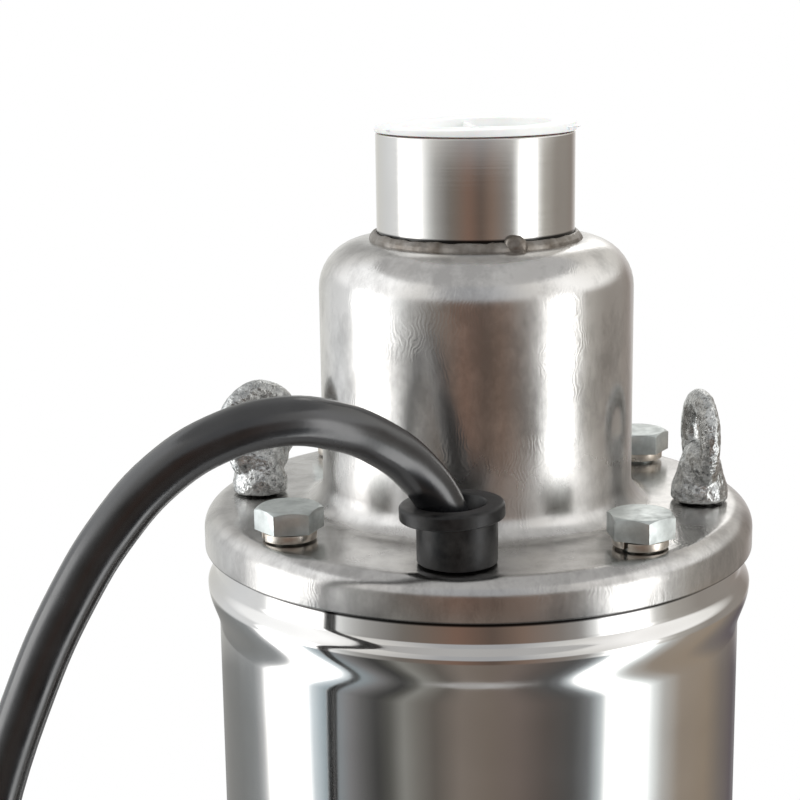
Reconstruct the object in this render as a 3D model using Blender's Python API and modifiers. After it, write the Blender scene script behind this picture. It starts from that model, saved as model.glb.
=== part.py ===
# Submersible multistage pump, standing on its suction foot.
# Metres, +Z up. The origin is the centre of the foot on the floor, and -Y is the cable side.
#
# From the floor up: foot, slotted strainer, suction plate, three pumping stages, oil chamber
# with a double shaft seal, motor, top bracket, and the cover with its bell and outlet socket.
# Water climbs between the outer casing and the motor, which it cools, and leaves by the socket.
# Four tie bolts clamp the whole column from the foot into the top bracket.
#
# Two things set the pump's size. Radii follow the casing's radius, and heights are stacked from
# the floor up, so that a longer motor or one more stage lifts all that stands on it.

import math

import bmesh
import bpy
from mathutils import Matrix, Vector

# Gap left between pieces that rest on each other
SEAT = 0.0003

# Fineness of round shapes
LARGE_ROUND = 24
MIDDLE_ROUND = 16
SMALL_ROUND = 12
TINY_ROUND = 8

# Outer casing: a rolled tube with a collar and a bead below the cover
CASING_RADIUS = 0.065
CASING_WALL = 0.0012
CASING_RISE_IN_COVER = 0.0033
CASING_LIP = 0.0028
COLLAR_SWELL = 0.0004
COLLAR_RADIUS = CASING_RADIUS + COLLAR_SWELL
BEAD_SWELL = 0.0026
BEAD_RADIUS = CASING_RADIUS + BEAD_SWELL
BEAD_DROP = 0.0098
BEAD_UPPER_FLANK = 0.0042
BEAD_LOWER_FLANK = 0.0110
GASKET_WIDTH = 0.0016

# Radii of the motor column, inside the water's way up along the casing
WATER_WAY = 0.0125
COLUMN_RADIUS = CASING_RADIUS - WATER_WAY
SHELL_INSET = 0.0005
SHELL_RADIUS = COLUMN_RADIUS - SHELL_INSET
SHELL_WALL = 0.0015
SPIGOT_RADIUS = SHELL_RADIUS - SHELL_WALL - SEAT
SPIGOT_WALL = 0.0026

# Foot and strainer
FOOT_RADIUS = CASING_RADIUS
FOOT_RIM_WALL = 0.0015
FOOT_PLATE_TOP = 0.0117
FOOT_PLATE = 0.0030
FOOT_FLANGE = 0.0060
FOOT_FLANGE_THICKNESS = 0.0020
STRAINER_INSET = 0.0022
STRAINER_RADIUS = CASING_RADIUS - STRAINER_INSET
STRAINER_HEIGHT = 0.0751
STRAINER_WALL = 0.0010
STRAINER_SLOTS = 20
STRAINER_SLOT_SHARE = 0.22
STRAINER_BAND = 0.0090
CASING_BOTTOM = FOOT_PLATE_TOP + STRAINER_HEIGHT

# Suction plate
SUCTION_BOTTOM = CASING_BOTTOM + CASING_WALL + SEAT
SUCTION_HEIGHT = 0.0122
SUCTION_FLANGE = 0.0030
SUCTION_SHELL = 0.0030
SUCTION_MOUTH = 0.0240
SUCTION_THROAT = 0.0170
SUCTION_LEAD = 0.0030

# Pumping stages
STAGE_COUNT = 3
STAGE_BASE = SUCTION_BOTTOM + SUCTION_HEIGHT
STAGE_PITCH = 0.0205
STAGES_TOP = STAGE_BASE + STAGE_COUNT * STAGE_PITCH
BOWL_FLOOR = 0.0020
BOWL_WALL = 0.0012
BOWL_STEP = 0.0024
BOWL_STEP_HEIGHT = 0.0129
EYE_RADIUS = 0.0139
EYE_WALL = 0.0019
EYE_RUNNING_GAP = 0.0005
IMPELLER_INSET = 0.0085
IMPELLER_RADIUS = COLUMN_RADIUS - IMPELLER_INSET
IMPELLER_SHROUD = 0.0016
IMPELLER_LIFT = 0.0027
IMPELLER_WIDTH = 0.0082
IMPELLER_HUB = 0.0100
VANE_COUNT = 6
VANE_THICKNESS = 0.0018
VANE_INLET = 0.0165
VANE_ANGLE = 27
VANE_SINK = 0.0003
DIFFUSER_INSET = 0.0055
DIFFUSER_PLATE_RADIUS = COLUMN_RADIUS - DIFFUSER_INSET
DIFFUSER_PLATE = 0.0021
DIFFUSER_BOTTOM = 0.0115
RETURN_VANE_COUNT = 6
RETURN_VANE_INNER = 0.0150
RETURN_VANE_ANGLE = 34
NUT_FLATS = 0.0130
NUT_HEIGHT = 0.0065

# Oil chamber and its double shaft seal
OIL_SKIRT = 0.0140
OIL_FLOOR_BOTTOM = STAGES_TOP + OIL_SKIRT
OIL_FLOOR = 0.0050
OIL_CHAMBER_HEIGHT = 0.0460
OIL_WALL = 0.0040
OIL_SKIRT_WALL = 0.0030
OUTLET_WINDOWS = 6
OUTLET_WINDOW_WIDTH = 0.0160
OUTLET_WINDOW_HEIGHT = 0.0095
OUTLET_WINDOW_TURN = 15
OIL_SCREW_RADIUS = 0.0040
OIL_SCREW_HEAD_RADIUS = 0.0065
OIL_SCREW_HEAD = 0.0026
OIL_SCREW_KEY = 0.0050
OIL_SCREW_DROP = 0.0170
SEAL_BOSS_RADIUS = 0.0190
SEAL_BOSS_DROP = 0.0080
SEAL_BOSS_RISE = 0.0020
SHAFT_HOLE = 0.0090
SEAT_RADIUS = 0.0130
SEAT_PROUD = 0.0010
SEAT_WALL_GAP = 0.0005
SEAT_LEDGE = 0.0015
SEAT_SINK = 0.0005
SEAL_FACE_RADIUS = 0.0120
SEAL_FACE = 0.0020
SEAL_HEAD_RADIUS = 0.0140

# Lower bracket and lower bearing
BRACKET_FLANGE_BOTTOM = OIL_FLOOR_BOTTOM + OIL_CHAMBER_HEIGHT
BRACKET_FLANGE = 0.0097
BRACKET_FLANGE_TOP = BRACKET_FLANGE_BOTTOM + BRACKET_FLANGE
BRACKET_DECK_RISE = 0.0055
LOWER_BEARING_RISE = 0.0045
LOWER_BEARING_BOTTOM = BRACKET_FLANGE_BOTTOM + LOWER_BEARING_RISE
LOWER_BEARING_HEIGHT = 0.0120
LOWER_BEARING_BORE = 0.0085
LOWER_BEARING_OUTER = 0.0200
BEARING_RACE_GAP = 0.0008
BEARING_RELIEF = 0.0017
HOUSING_WALL = 0.0047

# Motor shell, stator and winding, in shares of the radius that the shell leaves them
SHELL_BOTTOM = BRACKET_FLANGE_TOP + SEAT
STATOR_RISE = 0.0230
STATOR_BOTTOM = SHELL_BOTTOM + STATOR_RISE
STATOR_LENGTH = 0.0653
STATOR_TOP = STATOR_BOTTOM + STATOR_LENGTH
STATOR_BORE = 0.558 * SPIGOT_RADIUS
SLOT_COUNT = 12
SLOT_MOUTH = 0.0030
SLOT_WIDTH = 0.0076
SLOT_DEPTH = 0.827 * SPIGOT_RADIUS
WINDING_BAR_WIDTH = 0.0060
WINDING_BAR_INNER = 0.647 * SPIGOT_RADIUS
WINDING_INNER = 0.608 * SPIGOT_RADIUS
WINDING_OUTER = 0.896 * SPIGOT_RADIUS
WINDING_HEAD = 0.0125
WINDING_BEVEL = 0.0040

# Rotor and shaft
AIR_GAP = 0.0005
ROTOR_SHORTER = 0.0010
ROTOR_END_RING = 0.0050
ROTOR_END_INNER = 0.369 * SPIGOT_RADIUS
SHAFT_COLLAR_RADIUS = 0.0095
SHAFT_CORE_RADIUS = 0.0120
SHAFT_CORE_ABOVE = 0.0047
SHAFT_CORE_BELOW = 0.0090
SHAFT_SHOULDER_RADIUS = 0.0110
SHAFT_SEAL_RADIUS = 0.0080
SHAFT_HEX_FLATS = 0.0120
SHAFT_HEX_CORNER = SHAFT_HEX_FLATS / math.sqrt(3)
SHAFT_END_RADIUS = 0.0040
SHAFT_END_DROP = 0.0080

# Upper bearing plate, its bearing and the spring on it
PLATE_RISE = 0.0272
PLATE_TOP = STATOR_TOP + PLATE_RISE
PLATE_THICKNESS = 0.0037
PLATE_OPENING = 0.0090
SHAFT_TOP_DROP = 0.0025
UPPER_BEARING_DROP = 0.0148
UPPER_BEARING_BOTTOM = PLATE_TOP - UPPER_BEARING_DROP
UPPER_BEARING_HEIGHT = 0.0110
UPPER_BEARING_BORE = 0.0075
UPPER_BEARING_OUTER = 0.0175
WAVE_SPRING_HEIGHT = 0.0011
WAVE_SPRING_STRIP = 0.0005
WAVE_COUNT = 3

# Top bracket, its bosses and the capacitor in its chamber
BRACKET_SPIGOT = 0.0048
SHELL_TOP = PLATE_TOP + BRACKET_SPIGOT
BRACKET_HEIGHT = 0.0397
BRACKET_TOP = SHELL_TOP + BRACKET_HEIGHT
BRACKET_ROOF = 0.0035
BRACKET_WALL = 0.0060
BRACKET_CHAMBER = COLUMN_RADIUS - BRACKET_WALL
BRACKET_CHAMFER = 0.0030
BOSS_RADIUS = 0.0065
BOSS_DROP = 0.0320
BOSS_BOTTOM = BRACKET_TOP - BOSS_DROP
THREAD_CLEARANCE = 0.0003
BOLT_HOLE_DEPTH = 0.0220
CABLE_BOSS_WALL = 0.0011
CABLE_BORE_DROP = 0.0220
CABLE_BORE_BOTTOM = BRACKET_TOP - CABLE_BORE_DROP
CABLE_PASSAGE_RADIUS = 0.0045
CABLE_PASSAGE_LENGTH = 0.0140
CAPACITOR_RADIUS = 0.427 * (BRACKET_TOP - BRACKET_ROOF - PLATE_TOP)
CAPACITOR_LENGTH = 1.2 * BRACKET_CHAMBER
CAPACITOR_OFFSET = 0.25 * BRACKET_CHAMBER

# Tie bolts, which run up beside the column
TIE_OFFSET = 0.0035
TIE_CIRCLE = COLUMN_RADIUS + TIE_OFFSET
TIE_RADIUS = 0.0029
TIE_TOP_DROP = 0.0170
TIE_TOP = BRACKET_TOP - TIE_TOP_DROP
TIE_HEAD_FLATS = 0.0100
TIE_HEAD = 0.0040
TIE_HOLE = 0.0033

# Cover with bell
COVER_LIFT = 0.0080
COVER_EDGE = BRACKET_TOP + COVER_LIFT
COVER_OVERHANG = 0.0030
COVER_RADIUS = CASING_RADIUS + COVER_OVERHANG
COVER_HEIGHT = 0.010
COVER_TOP = COVER_EDGE + COVER_HEIGHT
COVER_PLATE = 0.005
COVER_UNDERSIDE = COVER_TOP - COVER_PLATE
COVER_ROUNDING = 0.005
COVER_SKIRT_WALL = 0.0021
COVER_BOLT_INSET = 0.0080
COVER_BOLT_CIRCLE = CASING_RADIUS - COVER_BOLT_INSET
BELL_INSET = 0.0187
BELL_RADIUS = COVER_BOLT_CIRCLE - BELL_INSET
BELL_HEIGHT = 0.075
BELL_TOP = COVER_EDGE + BELL_HEIGHT
BELL_WALL = 0.0022
BELL_FOOT_FILLET = 0.0035
WELD_WIDTH = 0.0024
WELD_RISE = 0.0026
CASING_TOP = COVER_EDGE + CASING_RISE_IN_COVER

# Outlet socket, which leaves the bell a round shoulder, and its transport cap
SOCKET_RADIUS = 0.6266 * BELL_RADIUS
SOCKET_BORE = 0.842 * SOCKET_RADIUS
SOCKET_HEIGHT = 0.0253
SOCKET_CHAMFER = 0.0008
SOCKET_TOP = BELL_TOP + SEAT + SOCKET_HEIGHT
BELL_SHOULDER = BELL_RADIUS - SOCKET_RADIUS - WELD_WIDTH - 4 * SEAT / 3
CAP_OVERHANG = 0.0002
CAP_FLANGE_RADIUS = SOCKET_RADIUS + CAP_OVERHANG
CAP_FLANGE = 0.0023
CAP_DEPTH = 0.0115
CAP_WALL = 0.0022
CAP_FLOOR = 0.0018
CAP_RIB = 0.0020
CAP_CLEARANCE = 0.0004

# Cover bolts, spring washers and eye bolts
BOLT_RADIUS = 0.0040
BOLT_HEAD_FLATS = 0.0140
BOLT_HEAD = 0.0053
BOLT_LENGTH = 0.020
BOLT_HEAD_TURNS = (-17, 5, 20, 14)
WASHER_RADIUS = 0.0064
WASHER_BORE = 0.0042
WASHER_THICKNESS = 0.0021
WASHER_SLIT = 0.0008
WASHER_SLIT_TURNS = (-118, 30, 160, 215)
CLEARANCE_HOLE = 0.0044
EYE_INSET = 0.0100
EYE_CIRCLE = CASING_RADIUS - EYE_INSET
EYE_BASE_RADIUS = 0.0070
EYE_BASE_HEIGHT = 0.0035
EYE_NECK_HEIGHT = 0.0085
EYE_RING_RADIUS = 0.0105
EYE_HOLE_RADIUS = 0.0050
EYE_RING_HEIGHT = 0.0180
EYE_RING_THICKNESS = 0.0050
EYE_SHANK = 0.020
EYE_TURNS = {"eye_bolt_left": 39, "eye_bolt_right": -78.5}

# Cable grommet
GROMMET_INSET = 0.0095
GROMMET_PLACE = CASING_RADIUS - GROMMET_INSET
GROMMET_NECK = 0.0066
GROMMET_SLEEVE = 0.0090
GROMMET_FLANGE = 0.01175
GROMMET_FLANGE_THICKNESS = 0.0034
GROMMET_RISE = 0.0138
GROMMET_REACH = 0.016
GROMMET_MOUTH = 0.0080
GROMMET_DRAG = 0.0012

# Mains plug at the free end
PLUG_RADIUS = 0.0190
PLUG_BODY = 0.0360
PLUG_GRIP = 0.0300
PLUG_NECK = 0.0065
PLUG_PIN_RADIUS = 0.0024
PLUG_PIN_LENGTH = 0.0190
PLUG_PIN_SPREAD = 0.0095
PLUG_PIN_SOCKET = 0.0060
PLUG_ROUNDING = 0.0040
# It lies on the back edge of its body, which lifts its front
PLUG_TILT = math.radians(16.5)
PLUG_BACK_HEIGHT = (
    2 * SEAT
    + PLUG_ROUNDING
    + (PLUG_RADIUS - PLUG_ROUNDING) * math.cos(PLUG_TILT)
    - (PLUG_GRIP + PLUG_ROUNDING) * math.sin(PLUG_TILT)
)

# Supply cable and the coil of its spare length. The cable lands on the coil's top, over its
# outer turn, and the tail leaves the outer turn at the bottom.
CABLE_RADIUS = 0.0052
CABLE_LIE = CABLE_RADIUS + SEAT
CABLE_POINT_SPACING = 0.026
CABLE_BEND_SPACING = 0.010
COIL_CENTRE = (-0.165, -0.028)
COIL_MEAN_RADIUS = 0.0572
COIL_COLUMNS = 4
COIL_LAYERS = 6
COIL_TOP = 2 * COIL_LAYERS * CABLE_RADIUS
COIL_RADIUS = COIL_MEAN_RADIUS + COIL_COLUMNS * CABLE_RADIUS
COIL_OUTER_TURN = COIL_RADIUS - CABLE_RADIUS
TAIL_AZIMUTH = 105
TAIL_START = math.sqrt(COIL_RADIUS**2 - (COIL_OUTER_TURN - CABLE_RADIUS) ** 2) + 2 * SEAT
TAIL_LENGTH = 0.0250
TAIL_RISE = PLUG_BACK_HEIGHT - CABLE_LIE

# The cable's way out of the grommet and over, from the middle of its hole at the cover's face
CABLE_ARCH = (
    (0.0, 0.0, -0.034),
    (0.0, 0.0, -0.018),
    (-0.0001, 0.0, -0.006),
    (-0.0009, -0.0001, 0.0045),
    (-0.0034, -0.0008, 0.0135),
    (-0.0086, -0.0040, 0.0222),
    (-0.0155, -0.0110, 0.0298),
    (-0.0235, -0.0200, 0.0355),
    (-0.0340, -0.0277, 0.0380),
    (-0.0460, -0.0321, 0.0352),
    (-0.0570, -0.0343, 0.0282),
    (-0.0670, -0.0360, 0.0172),
    (-0.0760, -0.0375, 0.0030),
    (-0.0850, -0.0393, -0.0160),
)
# Its fall: X, distance from the line of the coil's outer turn, and share of the cover's height
CABLE_FALL = (
    (-0.0965, 0.0040, 0.878),
    (-0.1083, 0.0018, 0.727),
    (-0.1148, 0.0005, 0.561),
    (-0.1176, 0.0, 0.422),
)
# Its landing on the coil, a quarter of an ellipse that ends level
LANDING_RUN = 0.0465
LANDING_DROP = 0.0518

QUARTERS = (45, 135, 225, 315)


# Scene and collections

for old in list(bpy.data.objects):
    bpy.data.objects.remove(old, do_unlink=True)

parts = bpy.data.collections.new("submersible_pump")
cutters = bpy.data.collections.new("cutters")
bpy.context.scene.collection.children.link(parts)
bpy.context.scene.collection.children.link(cutters)


def material(name, colour, roughness, metallic):
    made = bpy.data.materials.new(name)
    made.use_nodes = True
    surface = made.node_tree.nodes["Principled BSDF"]
    surface.inputs["Base Color"].default_value = (*colour, 1)
    surface.inputs["Roughness"].default_value = roughness
    surface.inputs["Metallic"].default_value = metallic
    made.diffuse_color = (*colour, 1)
    return made


SATIN_STEEL = material("satin_steel", (0.62, 0.60, 0.58), 0.32, 1)
POLISHED_STEEL = material("polished_steel", (0.72, 0.71, 0.70), 0.12, 1)
TURNED_STEEL = material("turned_steel", (0.66, 0.64, 0.61), 0.28, 1)
ZINC = material("zinc_plate", (0.72, 0.74, 0.70), 0.38, 1)
SPRING_STEEL = material("spring_steel", (0.66, 0.60, 0.54), 0.35, 1)
GALVANISED = material("galvanised_casting", (0.55, 0.56, 0.55), 0.55, 1)
GROMMET_RUBBER = material("grommet_rubber", (0.035, 0.035, 0.038), 0.55, 0)
CABLE_RUBBER = material("cable_rubber", (0.022, 0.023, 0.025), 0.38, 0)
GASKET_RUBBER = material("gasket_rubber", (0.02, 0.02, 0.02), 0.7, 0)
WHITE_PLASTIC = material("white_plastic", (0.86, 0.86, 0.84), 0.45, 0)
CAST_ALUMINIUM = material("cast_aluminium", (0.60, 0.61, 0.62), 0.5, 1)
CAST_IRON = material("cast_iron", (0.16, 0.17, 0.18), 0.7, 0.6)
LAMINATED_STEEL = material("laminated_steel", (0.35, 0.36, 0.38), 0.5, 1)
COPPER = material("copper_winding", (0.72, 0.36, 0.18), 0.4, 1)
BEARING_STEEL = material("bearing_steel", (0.60, 0.60, 0.62), 0.2, 1)
SEAL_CERAMIC = material("seal_ceramic", (0.85, 0.84, 0.80), 0.25, 0)
SEAL_CARBON = material("seal_carbon", (0.06, 0.06, 0.065), 0.4, 0)
STAGE_PLASTIC = material("stage_plastic", (0.07, 0.07, 0.075), 0.5, 0)
CAPACITOR_CAN = material("capacitor_can", (0.75, 0.75, 0.73), 0.4, 0)
PLUG_RUBBER = material("plug_rubber", (0.025, 0.025, 0.027), 0.5, 0)
BRASS = material("nickel_brass", (0.70, 0.66, 0.55), 0.25, 1)


# Building blocks


def add(name, mesh, surface, collection=parts):
    made = bpy.data.objects.new(name, mesh)
    collection.objects.link(made)
    if collection is cutters:
        made.hide_render = True
        made.display_type = "WIRE"
    elif surface and not mesh.materials:
        mesh.materials.append(surface)
    return made


def rounded(outline, steps=2):
    """An outline whose corners with a third value, a fillet radius, are drawn as arcs."""
    points = []
    for index, corner in enumerate(outline):
        here = Vector(corner[:2])
        if len(corner) == 2:
            points.append(here)
            continue
        back = (Vector(outline[index - 1][:2]) - here).normalized()
        ahead = (Vector(outline[(index + 1) % len(outline)][:2]) - here).normalized()
        half = back.angle(ahead) / 2
        centre = here + (back + ahead).normalized() * corner[2] / math.sin(half)
        first = here + back * corner[2] / math.tan(half) - centre
        last = here + ahead * corner[2] / math.tan(half) - centre
        start = math.atan2(first.y, first.x)
        sweep = math.atan2(first.cross(last), first.dot(last))
        for step in range(steps + 1):
            angle = start + sweep * step / steps
            points.append(centre + corner[2] * Vector((math.cos(angle), math.sin(angle))))
    return points


def turned(name, outline, surface, segments=MIDDLE_ROUND, collection=parts):
    """Turns an outline of radius and height about Z. One that starts and ends on the axis stays open."""
    solid_core = outline[0][0] == 0 and outline[-1][0] == 0
    count = len(outline)
    edges = [(index, index + 1) for index in range(count - 1)]
    if not solid_core:
        edges.append((count - 1, 0))
    mesh = bpy.data.meshes.new(name)
    mesh.from_pydata([(radius, 0, height) for radius, height in outline], edges, [])
    made = add(name, mesh, surface, collection)
    screw = made.modifiers.new("Turn", "SCREW")
    screw.steps = screw.render_steps = segments
    screw.use_merge_vertices = True
    screw.merge_threshold = 0.00001
    screw.use_smooth_shade = True
    return made


def cylinders(
    name, places, radius, bottom, top, surface=None, segments=SMALL_ROUND, collection=cutters, turn=0
):
    """Upright cylinders of one size at the given places, as one mesh."""
    form = bmesh.new()
    spin = Matrix.Rotation(math.radians(turn), 4, "Z")
    for x, y in places:
        bmesh.ops.create_cone(
            form,
            cap_ends=True,
            segments=segments,
            radius1=radius,
            radius2=radius,
            depth=top - bottom,
            matrix=Matrix.Translation((x, y, (bottom + top) / 2)) @ spin,
        )
    mesh = bpy.data.meshes.new(name)
    form.to_mesh(mesh)
    form.free()
    return add(name, mesh, surface, collection)


def boxes(name, frames, size, surface=None, collection=cutters):
    """Boxes of one size, one for each placing matrix, as one mesh."""
    form = bmesh.new()
    for frame in frames:
        bmesh.ops.create_cube(form, size=1, matrix=frame @ Matrix.Diagonal((*size, 1)))
    mesh = bpy.data.meshes.new(name)
    form.to_mesh(mesh)
    form.free()
    return add(name, mesh, surface, collection)


def prism(name, outline, bottom, top, surface=None, collection=cutters, holes=()):
    """A flat outline in X and Y, with optional holes, raised from one height to another."""
    curve = bpy.data.curves.new(name, "CURVE")
    curve.dimensions = "2D"
    curve.fill_mode = "BOTH"
    curve.extrude = (top - bottom) / 2
    for loop in (outline, *holes):
        spline = curve.splines.new("POLY")
        spline.points.add(len(loop) - 1)
        for point, (x, y) in zip(spline.points, loop):
            point.co = (x, y, 0, 1)
        spline.use_cyclic_u = True
    made = add(name, curve, surface, collection)
    made.location.z = (bottom + top) / 2
    return as_mesh(made)


def as_mesh(source):
    """Replaces a curve, or a mesh with live modifiers, with the plain mesh that it shows, in place."""
    bpy.context.view_layer.update()
    name, surface = source.name, source.data.materials[0] if source.data.materials else None
    collection = source.users_collection[0]
    graph = bpy.context.evaluated_depsgraph_get()
    mesh = bpy.data.meshes.new_from_object(source.evaluated_get(graph))
    place = source.matrix_world.copy()
    bpy.data.objects.remove(source, do_unlink=True)
    form = bmesh.new()
    form.from_mesh(mesh)
    bmesh.ops.remove_doubles(form, verts=form.verts, dist=0.000001)
    form.to_mesh(mesh)
    form.free()
    made = add(name, mesh, surface, collection)
    made.matrix_world = place
    return made


def boolean(target, other, operation):
    """Joins, cuts or intersects a piece with another, which becomes a hidden helper."""
    step = target.modifiers.new(operation.title(), "BOOLEAN")
    step.operation = operation
    step.solver = "EXACT"
    step.object = other
    if other.name not in cutters.objects:
        parts.objects.unlink(other)
        cutters.objects.link(other)
        other.hide_render = True
        other.display_type = "WIRE"
    return target


def cut(target, other):
    return boolean(target, other, "DIFFERENCE")


def join(target, other):
    return boolean(target, other, "UNION")


def shade(made, sharp_degrees=35):
    made.data.shade_smooth()
    made.data.set_sharp_from_angle(angle=math.radians(sharp_degrees))
    return made


def copy_of(original, name):
    made = bpy.data.objects.new(name, original.data)
    parts.objects.link(made)
    return made


def round_place(radius, degrees):
    angle = math.radians(degrees)
    return (radius * math.cos(angle), radius * math.sin(angle))


def round_places(radius, angles):
    return [round_place(radius, degrees) for degrees in angles]


def hexagon(flats):
    """Radius over the corners of a hexagon with this distance between its flats."""
    return flats / math.sqrt(3)


def smooth_route(route, spacing):
    """Points along a Catmull-Rom curve through a route, at about even spacing."""
    points = [Vector(place) for place in route]
    points = [2 * points[0] - points[1], *points, 2 * points[-1] - points[-2]]
    fine = []
    for before, start, end, after in zip(points, points[1:], points[2:], points[3:]):
        count = max(1, round((end - start).length / spacing))
        for step in range(count):
            t = step / count
            fine.append(
                0.5
                * (
                    2 * start
                    + (end - before) * t
                    + (2 * before - 5 * start + 4 * end - after) * t**2
                    + (3 * start - before - 3 * end + after) * t**3
                )
            )
    fine.append(points[-2])
    return fine


def tube(name, points, radius, surface=None, collection=parts):
    curve = bpy.data.curves.new(name, "CURVE")
    curve.dimensions = "3D"
    curve.bevel_depth = radius
    curve.bevel_resolution = 2
    curve.use_fill_caps = True
    spline = curve.splines.new("POLY")
    spline.points.add(len(points) - 1)
    for point, place in zip(spline.points, points):
        point.co = (*place, 1)
    return as_mesh(add(name, curve, surface, collection))


# Cover, socket and cap


def make_cover():
    bore = SOCKET_BORE
    weld_start = SOCKET_RADIUS + SEAT
    cover = turned(
        "top_cover",
        rounded(
            [
                (bore, BELL_TOP),
                (weld_start, BELL_TOP),
                (weld_start, BELL_TOP + WELD_RISE),
                (weld_start + WELD_WIDTH * 0.6, BELL_TOP + WELD_RISE * 0.75),
                (weld_start + WELD_WIDTH, BELL_TOP - 0.00005),
                (BELL_RADIUS, BELL_TOP, BELL_SHOULDER),
                (BELL_RADIUS, COVER_TOP, BELL_FOOT_FILLET),
                (COVER_RADIUS, COVER_TOP, COVER_ROUNDING),
                (COVER_RADIUS, COVER_EDGE),
                (COVER_RADIUS - COVER_SKIRT_WALL, COVER_EDGE),
                (COVER_RADIUS - COVER_SKIRT_WALL, COVER_UNDERSIDE),
                (BELL_RADIUS - BELL_WALL, COVER_UNDERSIDE),
                (BELL_RADIUS - BELL_WALL, BELL_TOP - BELL_WALL, BELL_SHOULDER - BELL_WALL),
                (bore, BELL_TOP - BELL_WALL),
            ]
        ),
        SATIN_STEEL,
        LARGE_ROUND,
    )
    low, high = COVER_UNDERSIDE - COVER_PLATE, COVER_TOP + COVER_PLATE
    holes = round_places(COVER_BOLT_CIRCLE, QUARTERS) + round_places(EYE_CIRCLE, (0, 180))
    cut(cover, cylinders("cover_holes", holes, CLEARANCE_HOLE, low, high, segments=TINY_ROUND))
    neck_hole = [(0, -GROMMET_PLACE)]
    neck = GROMMET_NECK + SEAT
    cut(cover, cylinders("grommet_hole", neck_hole, neck, low, high, segments=MIDDLE_ROUND))


def make_socket():
    bottom = BELL_TOP + SEAT
    turned(
        "outlet_socket",
        [
            (SOCKET_BORE + SOCKET_CHAMFER, SOCKET_TOP),
            (SOCKET_RADIUS - SOCKET_CHAMFER / 2, SOCKET_TOP),
            (SOCKET_RADIUS, SOCKET_TOP - SOCKET_CHAMFER / 2),
            (SOCKET_RADIUS, bottom),
            (SOCKET_BORE, bottom),
            (SOCKET_BORE, SOCKET_TOP - SOCKET_CHAMFER),
        ],
        TURNED_STEEL,
        LARGE_ROUND,
    )


def make_cap():
    skirt = SOCKET_BORE - CAP_CLEARANCE
    flange_bottom = SOCKET_TOP + SEAT
    top = flange_bottom + CAP_FLANGE
    bottom = flange_bottom - CAP_DEPTH
    cap = turned(
        "outlet_cap",
        [
            (0, bottom + CAP_FLOOR),
            (skirt - CAP_WALL, bottom + CAP_FLOOR),
            (skirt - CAP_WALL, top),
            (CAP_FLANGE_RADIUS, top),
            (CAP_FLANGE_RADIUS, flange_bottom),
            (skirt, flange_bottom),
            (skirt, bottom),
            (0, bottom),
        ],
        WHITE_PLASTIC,
    )
    rib_bottom, rib_top = bottom + CAP_FLOOR / 2, flange_bottom
    span = 2 * skirt - CAP_WALL
    middle = Matrix.Translation((0, 0, (rib_bottom + rib_top) / 2))
    for number, degrees in enumerate((0, 90)):
        frame = middle @ Matrix.Rotation(math.radians(degrees), 4, "Z")
        join(cap, boxes(f"cap_rib_{number}", [frame], (span, CAP_RIB, rib_top - rib_bottom)))


# Fasteners of the cover


def hex_bolt(name, flats, head, radius, length, surface):
    """A bolt that hangs from the underside of its head, which is at height 0, with chamfered corners."""
    corner = hexagon(flats)
    crown = corner - flats / 2
    bolt = cylinders(name, [(0, 0)], corner, 0, head, surface, 6, parts)
    dome = turned(
        name + "_crown",
        [
            (0, head),
            (flats / 2, head),
            (corner + crown, head - 1.2 * crown),
            (corner + crown, -head),
            (0, -head),
        ],
        None,
        SMALL_ROUND,
        cutters,
    )
    boolean(bolt, dome, "INTERSECT")
    shank = cylinders(name + "_shank", [(0, 0)], radius, -length, head / 2, segments=TINY_ROUND)
    join(bolt, shank)
    return shade(as_mesh(bolt))


def make_cover_bolts():
    washer_bottom = COVER_TOP + SEAT
    head_bottom = washer_bottom + WASHER_THICKNESS + SEAT
    shank = BOLT_RADIUS - THREAD_CLEARANCE / 2
    bolt = hex_bolt("cover_bolt_1", BOLT_HEAD_FLATS, BOLT_HEAD, shank, BOLT_LENGTH, ZINC)
    washer = turned(
        "spring_washer_1",
        [
            (WASHER_BORE, WASHER_THICKNESS),
            (WASHER_RADIUS, WASHER_THICKNESS),
            (WASHER_RADIUS, 0),
            (WASHER_BORE, 0),
        ],
        SPRING_STEEL,
        SMALL_ROUND,
    )
    middle = Matrix.Translation((WASHER_RADIUS, 0, WASHER_THICKNESS / 2))
    slit = middle @ Matrix.Rotation(math.radians(18), 4, "X")
    cut(washer, boxes("washer_slit", [slit], (WASHER_RADIUS, WASHER_SLIT, 3 * WASHER_THICKNESS)))
    washer = as_mesh(washer)
    angles = (QUARTERS[3], QUARTERS[0], QUARTERS[1], QUARTERS[2])
    for number, degrees in enumerate(angles, 1):
        bolt_copy = bolt if number == 1 else copy_of(bolt, f"cover_bolt_{number}")
        washer_copy = washer if number == 1 else copy_of(washer, f"spring_washer_{number}")
        x, y = round_place(COVER_BOLT_CIRCLE, degrees)
        bolt_copy.location = (x, y, head_bottom)
        bolt_copy.rotation_euler.z = math.radians(BOLT_HEAD_TURNS[number - 1])
        washer_copy.location = (x, y, washer_bottom)
        washer_copy.rotation_euler.z = math.radians(WASHER_SLIT_TURNS[number - 1])


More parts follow.
